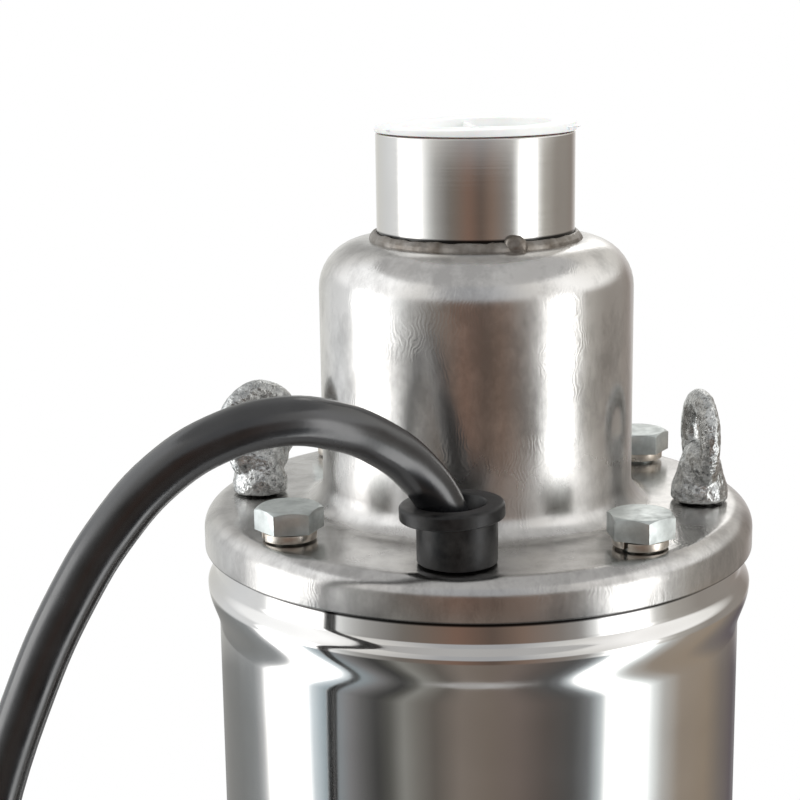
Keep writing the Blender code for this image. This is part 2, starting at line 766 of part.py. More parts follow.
def eye_sections():
    """Height, half width and half depth of the eye bolt's sections, from the end of its shank up."""
    shank = BOLT_RADIUS - THREAD_CLEARANCE / 2
    blade = EYE_RING_THICKNESS / 2
    sections = [
        (-EYE_SHANK, shank, shank),
        (0, shank, shank),
        (0.00001, EYE_BASE_RADIUS, EYE_BASE_RADIUS),
        (EYE_BASE_HEIGHT, EYE_BASE_RADIUS, 0.93 * EYE_BASE_RADIUS),
        (EYE_NECK_HEIGHT, 1.06 * EYE_BASE_RADIUS, 1.5 * blade),
    ]
    for degrees in (-38, -12, 15, 38, 58, 74, 84):
        angle = math.radians(degrees)
        edge = blade * (1 - 0.35 * max(0.0, math.sin(angle)) ** 3)
        height = EYE_RING_HEIGHT + EYE_RING_RADIUS * math.sin(angle)
        sections.append((height, EYE_RING_RADIUS * math.cos(angle), edge if degrees < 84 else 0.6 * edge))
    return sections


def make_eye_bolt(name, side):
    """A cast eye on a round foot: superellipse sections lofted up the shank, foot and ring."""
    form = bmesh.new()
    rings = []
    for height, half_width, half_depth in eye_sections():
        ring = []
        for step in range(SMALL_ROUND):
            angle = 2 * math.pi * (step + 0.5) / SMALL_ROUND
            across, along = half_width * math.cos(angle), half_depth * math.sin(angle)
            ring.append(form.verts.new((across, along, height)))
        rings.append(ring)
    for lower, upper in zip(rings, rings[1:]):
        for step in range(SMALL_ROUND):
            after = (step + 1) % SMALL_ROUND
            form.faces.new((lower[step], lower[after], upper[after], upper[step]))
    form.faces.new(reversed(rings[0]))
    form.faces.new(rings[-1])
    mesh = bpy.data.meshes.new(name)
    form.to_mesh(mesh)
    form.free()
    eye = add(name, mesh, GALVANISED)
    across = Matrix.Translation((0, 0, EYE_RING_HEIGHT)) @ Matrix.Rotation(math.radians(90), 4, "X")
    depth = EYE_BASE_RADIUS
    hole = cylinders(name + "_hole", [(0, 0)], EYE_HOLE_RADIUS, -depth, depth)
    hole.data.transform(across)
    cut(eye, hole)
    eye = shade(as_mesh(eye), 50)
    eye.location = (side * EYE_CIRCLE, 0, COVER_TOP + SEAT)
    eye.rotation_euler.z = math.radians(EYE_TURNS[name])


def make_grommet():
    """Rubber bush round the cable, its flange dragged sideways by the cable's bend."""
    sleeve_bottom = COVER_TOP + SEAT
    top = COVER_TOP + GROMMET_RISE
    flange_bottom = top - GROMMET_FLANGE_THICKNESS
    solid = turned(
        "cable_grommet",
        [
            (0, flange_bottom + GROMMET_FLANGE_THICKNESS / 2),
            (GROMMET_SLEEVE, flange_bottom + GROMMET_FLANGE_THICKNESS / 2),
            (GROMMET_SLEEVE, sleeve_bottom),
            (GROMMET_NECK, sleeve_bottom),
            (GROMMET_NECK, COVER_TOP - GROMMET_REACH),
            (0, COVER_TOP - GROMMET_REACH),
        ],
        GROMMET_RUBBER,
    )
    solid.location.y = -GROMMET_PLACE
    flange = turned(
        "grommet_flange",
        [(0, top), (GROMMET_FLANGE, top), (GROMMET_FLANGE, flange_bottom), (0, flange_bottom)],
        None,
        MIDDLE_ROUND,
        cutters,
    )
    flange.location = (-GROMMET_DRAG, -GROMMET_PLACE, 0)
    join(solid, flange)
    mouth = turned(
        "grommet_mouth",
        [
            (0, top + SEAT),
            (GROMMET_MOUTH, top + SEAT),
            (CABLE_RADIUS, COVER_TOP + GROMMET_RISE * 0.15),
            (0, COVER_TOP + GROMMET_RISE * 0.15),
        ],
        None,
        SMALL_ROUND,
        cutters,
    )
    mouth.location = (-GROMMET_DRAG / 2, -GROMMET_PLACE, 0)
    cut(solid, mouth)
    channel = [point for point in cable_points() if point.z > COVER_EDGE - GROMMET_REACH][:8]
    cut(solid, tube("grommet_channel", channel, CABLE_RADIUS + SEAT, None, cutters))


# Cable, its coil and the plug


def cable_points():
    """Centre line of the cable, closely spaced over its first bend and wider down the fall."""
    floor_line = COIL_CENTRE[1] - COIL_OUTER_TURN
    arch = [(x, y - GROMMET_PLACE, COVER_TOP + height) for x, y, height in CABLE_ARCH]
    fall = [(x, floor_line + side, share * COVER_TOP) for x, side, share in CABLE_FALL]
    landing = []
    for degrees in (0, 30, 60, 90):
        angle = math.radians(degrees)
        x = COIL_CENTRE[0] + LANDING_RUN * math.cos(angle)
        height = COIL_TOP + CABLE_LIE + LANDING_DROP * (1 - math.sin(angle))
        landing.append((x, floor_line, height))
    bend = smooth_route(arch, CABLE_BEND_SPACING)
    return bend + smooth_route(arch[-1:] + fall + landing, CABLE_POINT_SPACING)[1:]


def tail_frame():
    """The tail leaves the bottom turn along its tangent: the touching point, with Z ahead."""
    azimuth = math.radians(TAIL_AZIMUTH)
    x, y = round_place(COIL_OUTER_TURN, TAIL_AZIMUTH)
    touch = Vector((COIL_CENTRE[0] + x, COIL_CENTRE[1] + y, CABLE_LIE))
    return touch, Vector((math.sin(azimuth), -math.cos(azimuth), 0))


def tail_points():
    """The tail rises from the floor in a parabola, so that it meets the tilted plug straight."""
    touch, ahead = tail_frame()
    points = []
    for step in range(5):
        share = step / 4
        rise = Vector((0, 0, TAIL_RISE * share**2))
        points.append(touch + (TAIL_START + TAIL_LENGTH * share) * ahead + rise)
    return points


def make_cable():
    tube("supply_cable", cable_points(), CABLE_RADIUS, CABLE_RUBBER)
    tube("cable_tail", tail_points(), CABLE_RADIUS, CABLE_RUBBER)
    across = COIL_COLUMNS * CABLE_RADIUS
    corner = CABLE_RADIUS
    coil = turned(
        "cable_coil",
        rounded(
            [
                (COIL_MEAN_RADIUS - across, 2 * COIL_LAYERS * CABLE_RADIUS, corner),
                (COIL_MEAN_RADIUS + across, 2 * COIL_LAYERS * CABLE_RADIUS, corner),
                (COIL_MEAN_RADIUS + across, 0, corner),
                (COIL_MEAN_RADIUS - across, 0, corner),
            ],
            1,
        ),
        CABLE_RUBBER,
        LARGE_ROUND,
    )
    coil.location = (*COIL_CENTRE, 0)


def make_plug():
    """A moulded earthed plug on the floor, tilted because its body is thicker than its grip."""
    end = tail_points()[-1]
    ahead = tail_frame()[1] * math.cos(PLUG_TILT) + Vector((0, 0, math.sin(PLUG_TILT)))
    back = -SEAT
    front = -(PLUG_GRIP + PLUG_BODY)
    lay = Matrix.Translation(end) @ (-ahead).to_track_quat("Z", "X").to_matrix().to_4x4()
    body = turned(
        "plug_body",
        rounded(
            [
                (0, back),
                (PLUG_NECK, back),
                (PLUG_NECK + 0.0015, back - PLUG_GRIP * 0.55),
                (PLUG_RADIUS * 0.62, back - PLUG_GRIP * 0.80),
                (PLUG_RADIUS, back - PLUG_GRIP, PLUG_ROUNDING),
                (PLUG_RADIUS, front),
                (0, front),
            ],
            1,
        ),
        PLUG_RUBBER,
    )
    pins = [(0, -PLUG_PIN_SPREAD), (0, PLUG_PIN_SPREAD)]
    deep = front + PLUG_PIN_SOCKET
    hole = PLUG_PIN_RADIUS + SEAT
    cut(body, cylinders("plug_pin_holes", pins, hole, front - SEAT, deep, segments=TINY_ROUND))
    body = shade(as_mesh(body))
    body.matrix_world = lay
    for name, place in zip(("plug_pin_left", "plug_pin_right"), pins):
        pin_end = front - PLUG_PIN_LENGTH
        nose = PLUG_PIN_RADIUS * 0.6
        pin = turned(
            name,
            [
                (0, deep - SEAT),
                (PLUG_PIN_RADIUS, deep - SEAT),
                (PLUG_PIN_RADIUS, pin_end + nose),
                (nose, pin_end),
                (0, pin_end),
            ],
            BRASS,
            TINY_ROUND,
        )
        pin.matrix_world = lay @ Matrix.Translation((*place, 0))


# Outer casing and gasket


def bead_line(inward):
    """The rolled bead under the cover, from its upper end down, as radius and height."""
    peak = COVER_EDGE - BEAD_DROP
    points = []
    for share in (0, 0.5, 1):
        swell = (1 - math.cos(math.pi * share)) / 2
        radius = COLLAR_RADIUS + (BEAD_RADIUS - COLLAR_RADIUS) * swell
        points.append((radius - inward, peak + BEAD_UPPER_FLANK * (1 - share)))
    for share in (0.4, 1):
        swell = (1 + math.cos(math.pi * share)) / 2
        radius = CASING_RADIUS + (BEAD_RADIUS - CASING_RADIUS) * swell
        points.append((radius - inward, peak - BEAD_LOWER_FLANK * share))
    return points


def make_casing():
    inner = CASING_RADIUS - CASING_WALL
    outline = [(COLLAR_RADIUS, CASING_TOP), *bead_line(0), (CASING_RADIUS, CASING_BOTTOM)]
    outline += [
        (CASING_RADIUS - CASING_LIP, CASING_BOTTOM),
        (CASING_RADIUS - CASING_LIP, CASING_BOTTOM + CASING_WALL),
        (inner, CASING_BOTTOM + CASING_WALL),
    ]
    outline += [*reversed(bead_line(CASING_WALL)), (COLLAR_RADIUS - CASING_WALL, CASING_TOP)]
    turned("outer_casing", outline, POLISHED_STEEL, LARGE_ROUND)


def make_gasket():
    outer = COVER_RADIUS - COVER_SKIRT_WALL - SEAT
    top, bottom = COVER_UNDERSIDE - SEAT, CASING_TOP + SEAT
    turned(
        "casing_gasket",
        [(outer - GASKET_WIDTH, top), (outer, top), (outer, bottom), (outer - GASKET_WIDTH, bottom)],
        GASKET_RUBBER,
        LARGE_ROUND,
    )


# Top bracket and motor


def make_top_bracket():
    rim = SHELL_TOP + SEAT
    ceiling = BRACKET_TOP - BRACKET_ROOF
    bracket = turned(
        "top_bracket",
        [
            (0, BRACKET_TOP),
            (COLUMN_RADIUS - BRACKET_CHAMFER, BRACKET_TOP),
            (COLUMN_RADIUS, BRACKET_TOP - BRACKET_CHAMFER),
            (COLUMN_RADIUS, rim),
            (SPIGOT_RADIUS, rim),
            (SPIGOT_RADIUS, rim - BRACKET_SPIGOT),
            (BRACKET_CHAMBER, rim - BRACKET_SPIGOT),
            (BRACKET_CHAMBER, ceiling),
            (0, ceiling),
        ],
        CAST_ALUMINIUM,
    )
    boss_top = COVER_UNDERSIDE - SEAT
    screws = round_places(COVER_BOLT_CIRCLE, QUARTERS) + round_places(EYE_CIRCLE, (0, 180))
    join(bracket, cylinders("bracket_bosses", screws, BOSS_RADIUS, BOSS_BOTTOM, boss_top, segments=10))
    cable_place = [(0, -GROMMET_PLACE)]
    bore = GROMMET_NECK + SEAT
    wall = bore + CABLE_BOSS_WALL
    join(bracket, cylinders("cable_boss", cable_place, wall, BOSS_BOTTOM, boss_top, segments=MIDDLE_ROUND))
    thread = BOLT_RADIUS + THREAD_CLEARANCE
    deep = boss_top - BOLT_HOLE_DEPTH
    above = boss_top + SEAT
    cut(bracket, cylinders("bracket_threads", screws, thread, deep, above, segments=TINY_ROUND))
    ties = round_places(TIE_CIRCLE, QUARTERS)
    tie_thread = TIE_RADIUS + THREAD_CLEARANCE
    below = BOSS_BOTTOM - SEAT
    cut(bracket, cylinders("tie_threads", ties, tie_thread, below, TIE_TOP + SEAT, segments=TINY_ROUND))
    cut(bracket, cylinders("cable_bore", cable_place, bore, CABLE_BORE_BOTTOM, above, segments=MIDDLE_ROUND))
    passage = cylinders(
        "cable_passage", [(0, 0)], CABLE_PASSAGE_RADIUS, 0, CABLE_PASSAGE_LENGTH, segments=TINY_ROUND
    )
    lay = Matrix.Rotation(math.radians(-90), 4, "X")
    middle = CABLE_BORE_BOTTOM + 2 * CABLE_PASSAGE_RADIUS
    passage.data.transform(Matrix.Translation((0, -GROMMET_PLACE, middle)) @ lay)
    cut(bracket, passage)


def make_capacitor():
    capacitor = cylinders(
        "capacitor",
        [(0, 0)],
        CAPACITOR_RADIUS,
        -CAPACITOR_LENGTH / 2,
        CAPACITOR_LENGTH / 2,
        CAPACITOR_CAN,
        SMALL_ROUND,
        parts,
        turn=180 / SMALL_ROUND - 90,
    )
    shade(capacitor)
    capacitor.rotation_euler.y = math.radians(90)
    flat = CAPACITOR_RADIUS * math.cos(math.pi / SMALL_ROUND)
    capacitor.location = (0, CAPACITOR_OFFSET, PLATE_TOP + SEAT + flat)


def make_upper_bearing_plate():
    housing = UPPER_BEARING_OUTER + SEAT
    ceiling = UPPER_BEARING_BOTTOM + UPPER_BEARING_HEIGHT + WAVE_SPRING_HEIGHT + 2 * SEAT
    underside = PLATE_TOP - PLATE_THICKNESS
    foot = STATOR_TOP + SEAT
    turned(
        "upper_bearing_plate",
        [
            (PLATE_OPENING, PLATE_TOP),
            (SPIGOT_RADIUS, PLATE_TOP),
            (SPIGOT_RADIUS, foot),
            (SPIGOT_RADIUS - SPIGOT_WALL, foot),
            (SPIGOT_RADIUS - SPIGOT_WALL, underside),
            (housing + HOUSING_WALL, underside),
            (housing + HOUSING_WALL, UPPER_BEARING_BOTTOM),
            (housing, UPPER_BEARING_BOTTOM),
            (housing, ceiling),
            (PLATE_OPENING, ceiling),
        ],
        CAST_ALUMINIUM,
    )


def make_bearing(name, bore, rim, bottom, top):
    """Outer and inner ring of a shielded ball bearing, each with its half of the race gap."""
    middle = (bore + rim) / 2
    for ring, inner, outer in (
        ("outer", middle + BEARING_RACE_GAP / 2, rim),
        ("inner", bore, middle - BEARING_RACE_GAP / 2),
    ):
        turned(
            f"{name}_{ring}",
            [(inner, top), (outer, top), (outer, bottom), (inner, bottom)],
            BEARING_STEEL,
        )


def make_wave_spring():
    """A flat ring bent into waves, which preloads the upper bearing."""
    inner = UPPER_BEARING_BORE + 0.65 * (UPPER_BEARING_OUTER - UPPER_BEARING_BORE)
    outer = UPPER_BEARING_OUTER - SEAT
    bottom = UPPER_BEARING_BOTTOM + UPPER_BEARING_HEIGHT + SEAT
    spring = turned(
        "wave_spring",
        [(inner, WAVE_SPRING_STRIP), (outer, WAVE_SPRING_STRIP), (outer, 0), (inner, 0)],
        SPRING_STEEL,
    )
    spring = as_mesh(spring)
    rise = WAVE_SPRING_HEIGHT - WAVE_SPRING_STRIP
    for vertex in spring.data.vertices:
        angle = math.atan2(vertex.co.y, vertex.co.x)
        vertex.co.z += rise * (1 - math.cos(WAVE_COUNT * angle)) / 2
    spring.location.z = bottom


def make_shell():
    inner = SHELL_RADIUS - SHELL_WALL
    turned(
        "motor_shell",
        [
            (inner, SHELL_TOP),
            (SHELL_RADIUS, SHELL_TOP),
            (SHELL_RADIUS, SHELL_BOTTOM),
            (inner, SHELL_BOTTOM),
        ],
        SATIN_STEEL,
    )


def make_stator():
    """Slotted core, and the winding as two heads joined by a bar in each slot."""
    tooth_loop = []
    step = 360 / SLOT_COUNT
    for slot in range(SLOT_COUNT):
        turn = Matrix.Rotation(math.radians(slot * step), 2)
        side = [
            (STATOR_BORE, SLOT_MOUTH / 2),
            (STATOR_BORE + SLOT_MOUTH, SLOT_WIDTH / 2),
            (SLOT_DEPTH, SLOT_WIDTH / 2),
        ]
        mirrored = [(radius, -across) for radius, across in side]
        tooth = round_place(STATOR_BORE, step / 2)
        tooth_loop += [turn @ Vector(point) for point in (*mirrored, *reversed(side), tooth)]
    rim = round_places(SPIGOT_RADIUS, [360 * point / MIDDLE_ROUND for point in range(MIDDLE_ROUND)])
    prism("stator_core", rim, STATOR_BOTTOM, STATOR_TOP, LAMINATED_STEEL, parts, [tooth_loop])

    bevel = WINDING_BEVEL
    top = STATOR_TOP + SEAT
    bottom = STATOR_BOTTOM - SEAT
    winding = turned(
        "stator_winding",
        [
            (WINDING_INNER, top + WINDING_HEAD),
            (WINDING_OUTER - bevel, top + WINDING_HEAD),
            (WINDING_OUTER, top + WINDING_HEAD - bevel),
            (WINDING_OUTER, top),
            (WINDING_INNER, top),
        ],
        COPPER,
    )
    lower = turned(
        "winding_lower_head",
        [
            (WINDING_INNER, bottom),
            (WINDING_OUTER, bottom),
            (WINDING_OUTER, bottom - WINDING_HEAD + bevel),
            (WINDING_OUTER - bevel, bottom - WINDING_HEAD),
            (WINDING_INNER, bottom - WINDING_HEAD),
        ],
        None,
        MIDDLE_ROUND,
        cutters,
    )
    bar_outer = SLOT_DEPTH - 4 * SEAT
    size = (bar_outer - WINDING_BAR_INNER, WINDING_BAR_WIDTH, top - bottom + bevel)
    middle = Matrix.Translation(((bar_outer + WINDING_BAR_INNER) / 2, 0, (top + bottom) / 2))
    frames = [Matrix.Rotation(math.radians(slot * step), 4, "Z") @ middle for slot in range(SLOT_COUNT)]
    join(winding, boxes("winding_bars", frames, size))
    join(winding, lower)


def make_rotor_core():
    radius = STATOR_BORE - AIR_GAP
    bore = SHAFT_CORE_RADIUS + SEAT
    top, bottom = STATOR_TOP - ROTOR_SHORTER, STATOR_BOTTOM + ROTOR_SHORTER
    turned(
        "rotor_core",
        [
            (bore, top - ROTOR_END_RING),
            (ROTOR_END_INNER, top - ROTOR_END_RING),
            (ROTOR_END_INNER, top),
            (radius - ROTOR_SHORTER, top),
            (radius, top - 2 * ROTOR_SHORTER),
            (radius, bottom + 2 * ROTOR_SHORTER),
            (radius - ROTOR_SHORTER, bottom),
            (ROTOR_END_INNER, bottom),
            (ROTOR_END_INNER, bottom + ROTOR_END_RING),
            (bore, bottom + ROTOR_END_RING),
        ],
        LAMINATED_STEEL,
    )


def make_shaft():
    """One motor and pump shaft: round down to the lower seal, six-sided through the impellers."""
    upper_seat = UPPER_BEARING_BORE - SEAT
    lower_seat = LOWER_BEARING_BORE - SEAT
    upper_shoulder = UPPER_BEARING_BOTTOM - SEAT
    lower_shoulder = LOWER_BEARING_BOTTOM + LOWER_BEARING_HEIGHT + SEAT
    top = PLATE_TOP - SHAFT_TOP_DROP
    core_top = STATOR_TOP + SHAFT_CORE_ABOVE
    core_bottom = STATOR_BOTTOM - SHAFT_CORE_BELOW
    end = STAGE_BASE - SHAFT_END_DROP
    hex_top = STAGES_TOP + 0.001
    nut_top = STAGE_BASE
    shaft = turned(
        "shaft",
        [
            (0, top),
            (upper_seat, top),
            (upper_seat, upper_shoulder),
            (SHAFT_COLLAR_RADIUS, upper_shoulder),
            (SHAFT_COLLAR_RADIUS, core_top),
            (SHAFT_CORE_RADIUS, core_top),
            (SHAFT_CORE_RADIUS, core_bottom),
            (SHAFT_SHOULDER_RADIUS, core_bottom),
            (SHAFT_SHOULDER_RADIUS, lower_shoulder),
            (lower_seat, lower_shoulder),
            (lower_seat, LOWER_BEARING_BOTTOM),
            (SHAFT_SEAL_RADIUS, LOWER_BEARING_BOTTOM),
            (SHAFT_SEAL_RADIUS, hex_top),
            (SHAFT_END_RADIUS, hex_top),
            (SHAFT_END_RADIUS, end),
            (0, end),
        ],
        BEARING_STEEL,
        SMALL_ROUND,
    )
    hexagon_end = hex_top + 0.001
    join(shaft, cylinders("shaft_hexagon", [(0, 0)], SHAFT_HEX_CORNER, nut_top, hexagon_end, segments=6))


# Seals, lower bracket and oil chamber


def make_lower_bracket():
    housing = LOWER_BEARING_OUTER + SEAT
    ledge = LOWER_BEARING_BOTTOM - SEAT
    housing_top = ledge + LOWER_BEARING_HEIGHT
    deck = BRACKET_FLANGE_BOTTOM + BRACKET_DECK_RISE
    spigot_top = STATOR_BOTTOM - SEAT
    boss_bottom = BRACKET_FLANGE_BOTTOM - SEAL_BOSS_DROP
    seat_hole = SEAT_RADIUS + SEAT_WALL_GAP
    seat_ceiling = BRACKET_FLANGE_BOTTOM - SEAT_SINK
    relief = LOWER_BEARING_BORE + 0.67 * (LOWER_BEARING_OUTER - LOWER_BEARING_BORE)
    turned(
        "lower_bracket",
        [
            (SPIGOT_RADIUS, spigot_top),
            (SPIGOT_RADIUS, BRACKET_FLANGE_TOP),
            (COLUMN_RADIUS, BRACKET_FLANGE_TOP),
            (COLUMN_RADIUS, BRACKET_FLANGE_BOTTOM),
            (SEAL_BOSS_RADIUS, BRACKET_FLANGE_BOTTOM),
            (SEAL_BOSS_RADIUS, boss_bottom),
            (seat_hole, boss_bottom),
            (seat_hole, seat_ceiling),
            (SHAFT_HOLE, seat_ceiling),
            (SHAFT_HOLE, ledge - BEARING_RELIEF),
            (relief, ledge - BEARING_RELIEF),
            (relief, ledge),
            (housing, ledge),
            (housing, housing_top),
            (housing + HOUSING_WALL, housing_top),
            (housing + HOUSING_WALL, deck),
            (SPIGOT_RADIUS - SPIGOT_WALL, deck),
            (SPIGOT_RADIUS - SPIGOT_WALL, spigot_top),
        ],
        CAST_IRON,
    )


def make_oil_chamber():
    rim = BRACKET_FLANGE_BOTTOM - SEAT
    skirt_bottom = STAGES_TOP
    floor_top = OIL_FLOOR_BOTTOM + OIL_FLOOR
    ledge = OIL_FLOOR_BOTTOM + SEAT_LEDGE
    boss_top = floor_top + SEAL_BOSS_RISE
    seat_hole = SEAT_RADIUS + SEAT_WALL_GAP
    chamber = turned(
        "oil_chamber",
        [
            (COLUMN_RADIUS - OIL_WALL, rim),
            (COLUMN_RADIUS, rim),
            (COLUMN_RADIUS, skirt_bottom),
            (COLUMN_RADIUS - OIL_SKIRT_WALL, skirt_bottom),
            (COLUMN_RADIUS - OIL_SKIRT_WALL, OIL_FLOOR_BOTTOM),
            (SHAFT_HOLE, OIL_FLOOR_BOTTOM),
            (SHAFT_HOLE, ledge),
            (seat_hole, ledge),
            (seat_hole, boss_top),
            (SEAL_BOSS_RADIUS, boss_top),
            (SEAL_BOSS_RADIUS, floor_top),
            (COLUMN_RADIUS - OIL_WALL, floor_top),
        ],
        CAST_IRON,
    )
    reach = 4 * OIL_SKIRT_WALL
    tall = 1.4 * OUTLET_WINDOW_HEIGHT
    middle = Matrix.Translation((COLUMN_RADIUS, 0, skirt_bottom + OUTLET_WINDOW_HEIGHT - tall / 2))
    angles = [360 * window / OUTLET_WINDOWS + OUTLET_WINDOW_TURN for window in range(OUTLET_WINDOWS)]
    frames = [Matrix.Rotation(math.radians(degrees), 4, "Z") @ middle for degrees in angles]
    cut(chamber, boxes("outlet_windows", frames, (reach, OUTLET_WINDOW_WIDTH, tall)))
    bore = OIL_SCREW_RADIUS + SEAT
    hole = cylinders("oil_screw_hole", [(0, 0)], bore, -2 * OIL_WALL, OIL_WALL, segments=TINY_ROUND)
    hole.data.transform(oil_screw_place())
    cut(chamber, hole)


def oil_screw_place():
    """Where the oil chamber's fill screw sits: its axis points out along +Y."""
    middle = Matrix.Translation((0, COLUMN_RADIUS, BRACKET_FLANGE_BOTTOM - OIL_SCREW_DROP))
    return middle @ Matrix.Rotation(math.radians(-90), 4, "X")


def make_oil_screw():
    screw = turned(
        "oil_screw",
        [
            (0, SEAT + OIL_SCREW_HEAD),
            (OIL_SCREW_HEAD_RADIUS, SEAT + OIL_SCREW_HEAD),
            (OIL_SCREW_HEAD_RADIUS, SEAT),
            (OIL_SCREW_RADIUS, SEAT),
            (OIL_SCREW_RADIUS, -OIL_WALL),
            (0, -OIL_WALL),
        ],
        BRASS,
        TINY_ROUND,
    )
    key = hexagon(OIL_SCREW_KEY)
    floor = SEAT + OIL_SCREW_HEAD / 3
    cut(screw, cylinders("oil_screw_socket", [(0, 0)], key, floor, 2 * OIL_SCREW_HEAD, segments=6))
    screw = as_mesh(screw)
    screw.matrix_world = oil_screw_place()


def make_seals():
    """A seat in each wall of the oil chamber and two turning heads back to back between them."""
    upper_face = BRACKET_FLANGE_BOTTOM - SEAL_BOSS_DROP - SEAT_PROUD
    lower_face = OIL_FLOOR_BOTTOM + OIL_FLOOR + SEAL_BOSS_RISE + SEAT_PROUD
    upper_back = BRACKET_FLANGE_BOTTOM - SEAT_SINK - SEAT
    lower_back = OIL_FLOOR_BOTTOM + SEAT_LEDGE + SEAT
    for name, top, bottom in (
        ("seal_seat_upper", upper_back, upper_face),
        ("seal_seat_lower", lower_face, lower_back),
    ):
        turned(
            name,
            [(SHAFT_HOLE, top), (SEAT_RADIUS, top), (SEAT_RADIUS, bottom), (SHAFT_HOLE, bottom)],
            SEAL_CERAMIC,
            SMALL_ROUND,
        )
    bore = SHAFT_SEAL_RADIUS + SEAT
    middle = (upper_face + lower_face) / 2
    for name, face, direction in (("seal_head_upper", upper_face, 1), ("seal_head_lower", lower_face, -1)):
        start = face - direction * SEAT
        step = start - direction * SEAL_FACE
        end = middle + direction * SEAT / 2
        outline = [
            (SEAL_FACE_RADIUS, start),
            (SEAL_FACE_RADIUS, step),
            (SEAL_HEAD_RADIUS, step),
            (SEAL_HEAD_RADIUS, end),
            (bore, end),
            (bore, start),
        ]
        turned(name, outline if direction > 0 else outline[::-1], SEAL_CARBON, SMALL_ROUND)


# Pumping stages


def swept_vane(inner, outer, angle, thickness, hand, samples=4):
    """Outline of one vane whose centre line keeps a constant angle to the tangent, with tapered ends."""
    left, right = [], []
    for index in range(samples):
        share = index / (samples - 1)
        radius = inner * (outer / inner) ** share
        turn = hand * math.log(radius / inner) / math.tan(math.radians(angle))
        centre = Vector((radius * math.cos(turn), radius * math.sin(turn)))
        heading = turn + hand * math.radians(90 - angle)
        across = Vector((-math.sin(heading), math.cos(heading)))
        taper = 0.45 + 0.55 * math.sin(math.pi * min(1.0, 0.15 + share))
        left.append(centre + across * thickness / 2 * taper)
        right.append(centre - across * thickness / 2 * taper)
    return left[::-1] + right if hand > 0 else right[::-1] + left


def vane_ring(name, count, outline, bottom, top):
    """Equal vanes round the axis, raised between two heights, as one mesh."""
    vane = prism(name, outline, bottom, top)
    form = bmesh.new()
    for copy in range(count):
        mesh = vane.data.copy()
        mesh.transform(Matrix.Rotation(2 * math.pi * copy / count, 4, "Z") @ vane.matrix_world)
        form.from_mesh(mesh)
        bpy.data.meshes.remove(mesh)
    form.to_mesh(vane.data)
    form.free()
    vane.location.z = 0
    return vane


def make_impeller():
    """Closed impeller: eye ring and front shroud, six swept-back vanes, back shroud and hub."""
    back_top = IMPELLER_LIFT + IMPELLER_WIDTH
    back_bottom = back_top - IMPELLER_SHROUD
    front_bottom = IMPELLER_LIFT
    front_top = front_bottom + IMPELLER_SHROUD
    hub_bottom, hub_top = 0.0002, STAGE_PITCH - 0.0002
    neck = EYE_RADIUS + EYE_WALL
    bore = SHAFT_HEX_FLATS / 2
    impeller = turned(
        "impeller_1",
        [
            (bore, hub_top),
            (IMPELLER_HUB, hub_top),
            (IMPELLER_HUB, back_top),
            (IMPELLER_RADIUS, back_top),
            (IMPELLER_RADIUS, back_bottom),
            (VANE_INLET, back_bottom),
            (IMPELLER_HUB, front_top),
            (IMPELLER_HUB * 0.85, hub_bottom),
            (bore, hub_bottom),
        ],
        STAGE_PLASTIC,
    )
    front = turned(
        "impeller_front",
        [
            (IMPELLER_RADIUS, front_top),
            (IMPELLER_RADIUS, front_bottom),
            (neck, front_bottom),
            (neck, 0.0004),
            (EYE_RADIUS, 0.0004),
            (EYE_RADIUS, front_top),
        ],
        None,
        MIDDLE_ROUND,
        cutters,
    )
    outline = swept_vane(VANE_INLET, IMPELLER_RADIUS - SEAT, VANE_ANGLE, VANE_THICKNESS, -1)
    low, high = front_top - VANE_SINK, back_bottom + VANE_SINK
    vanes = vane_ring("impeller_vanes", VANE_COUNT, outline, low, high)
    join(impeller, vanes)
    join(impeller, front)
    key = SHAFT_HEX_CORNER + SEAT
    cut(impeller, cylinders("impeller_hexagon", [(0, 0)], key, -STAGE_PITCH, 2 * STAGE_PITCH, segments=6))
    return shade(as_mesh(impeller))


def make_bowl():
    outer = COLUMN_RADIUS
    eye = EYE_RADIUS + EYE_WALL + EYE_RUNNING_GAP
    step_radius = outer - BOWL_WALL
    rim = STAGE_PITCH - SEAT
    bowl = turned(
        "stage_bowl_1",
        [
            (step_radius, rim),
            (outer, rim),
            (outer, 0),
            (eye, 0),
            (eye, BOWL_FLOOR),
            (step_radius - BOWL_STEP, BOWL_FLOOR),
            (step_radius - BOWL_STEP, BOWL_STEP_HEIGHT),
            (step_radius, BOWL_STEP_HEIGHT),
        ],
        STAGE_PLASTIC,
    )
    return shade(as_mesh(bowl))


def make_diffuser():
    """Guide plate whose return vanes lead the water back in to the next impeller's eye."""
    plate_top = DIFFUSER_BOTTOM + DIFFUSER_PLATE
    vane_bottom = BOWL_STEP_HEIGHT + SEAT
    vane_top = STAGE_PITCH - SEAT
    bore = IMPELLER_HUB + EYE_RUNNING_GAP
    diffuser = turned(
        "diffuser_1",
        [
            (bore, plate_top),
            (DIFFUSER_PLATE_RADIUS, plate_top),
            (DIFFUSER_PLATE_RADIUS, DIFFUSER_BOTTOM),
            (bore, DIFFUSER_BOTTOM),
        ],
        STAGE_PLASTIC,
    )
    wall_flats = (COLUMN_RADIUS - BOWL_WALL) * math.cos(math.pi / MIDDLE_ROUND)
    reach = wall_flats - SEAT - VANE_THICKNESS / 4
    outline = swept_vane(RETURN_VANE_INNER, reach, RETURN_VANE_ANGLE, VANE_THICKNESS, 1)
    join(diffuser, vane_ring("return_vanes", RETURN_VANE_COUNT, outline, vane_bottom, vane_top))
    return shade(as_mesh(diffuser))


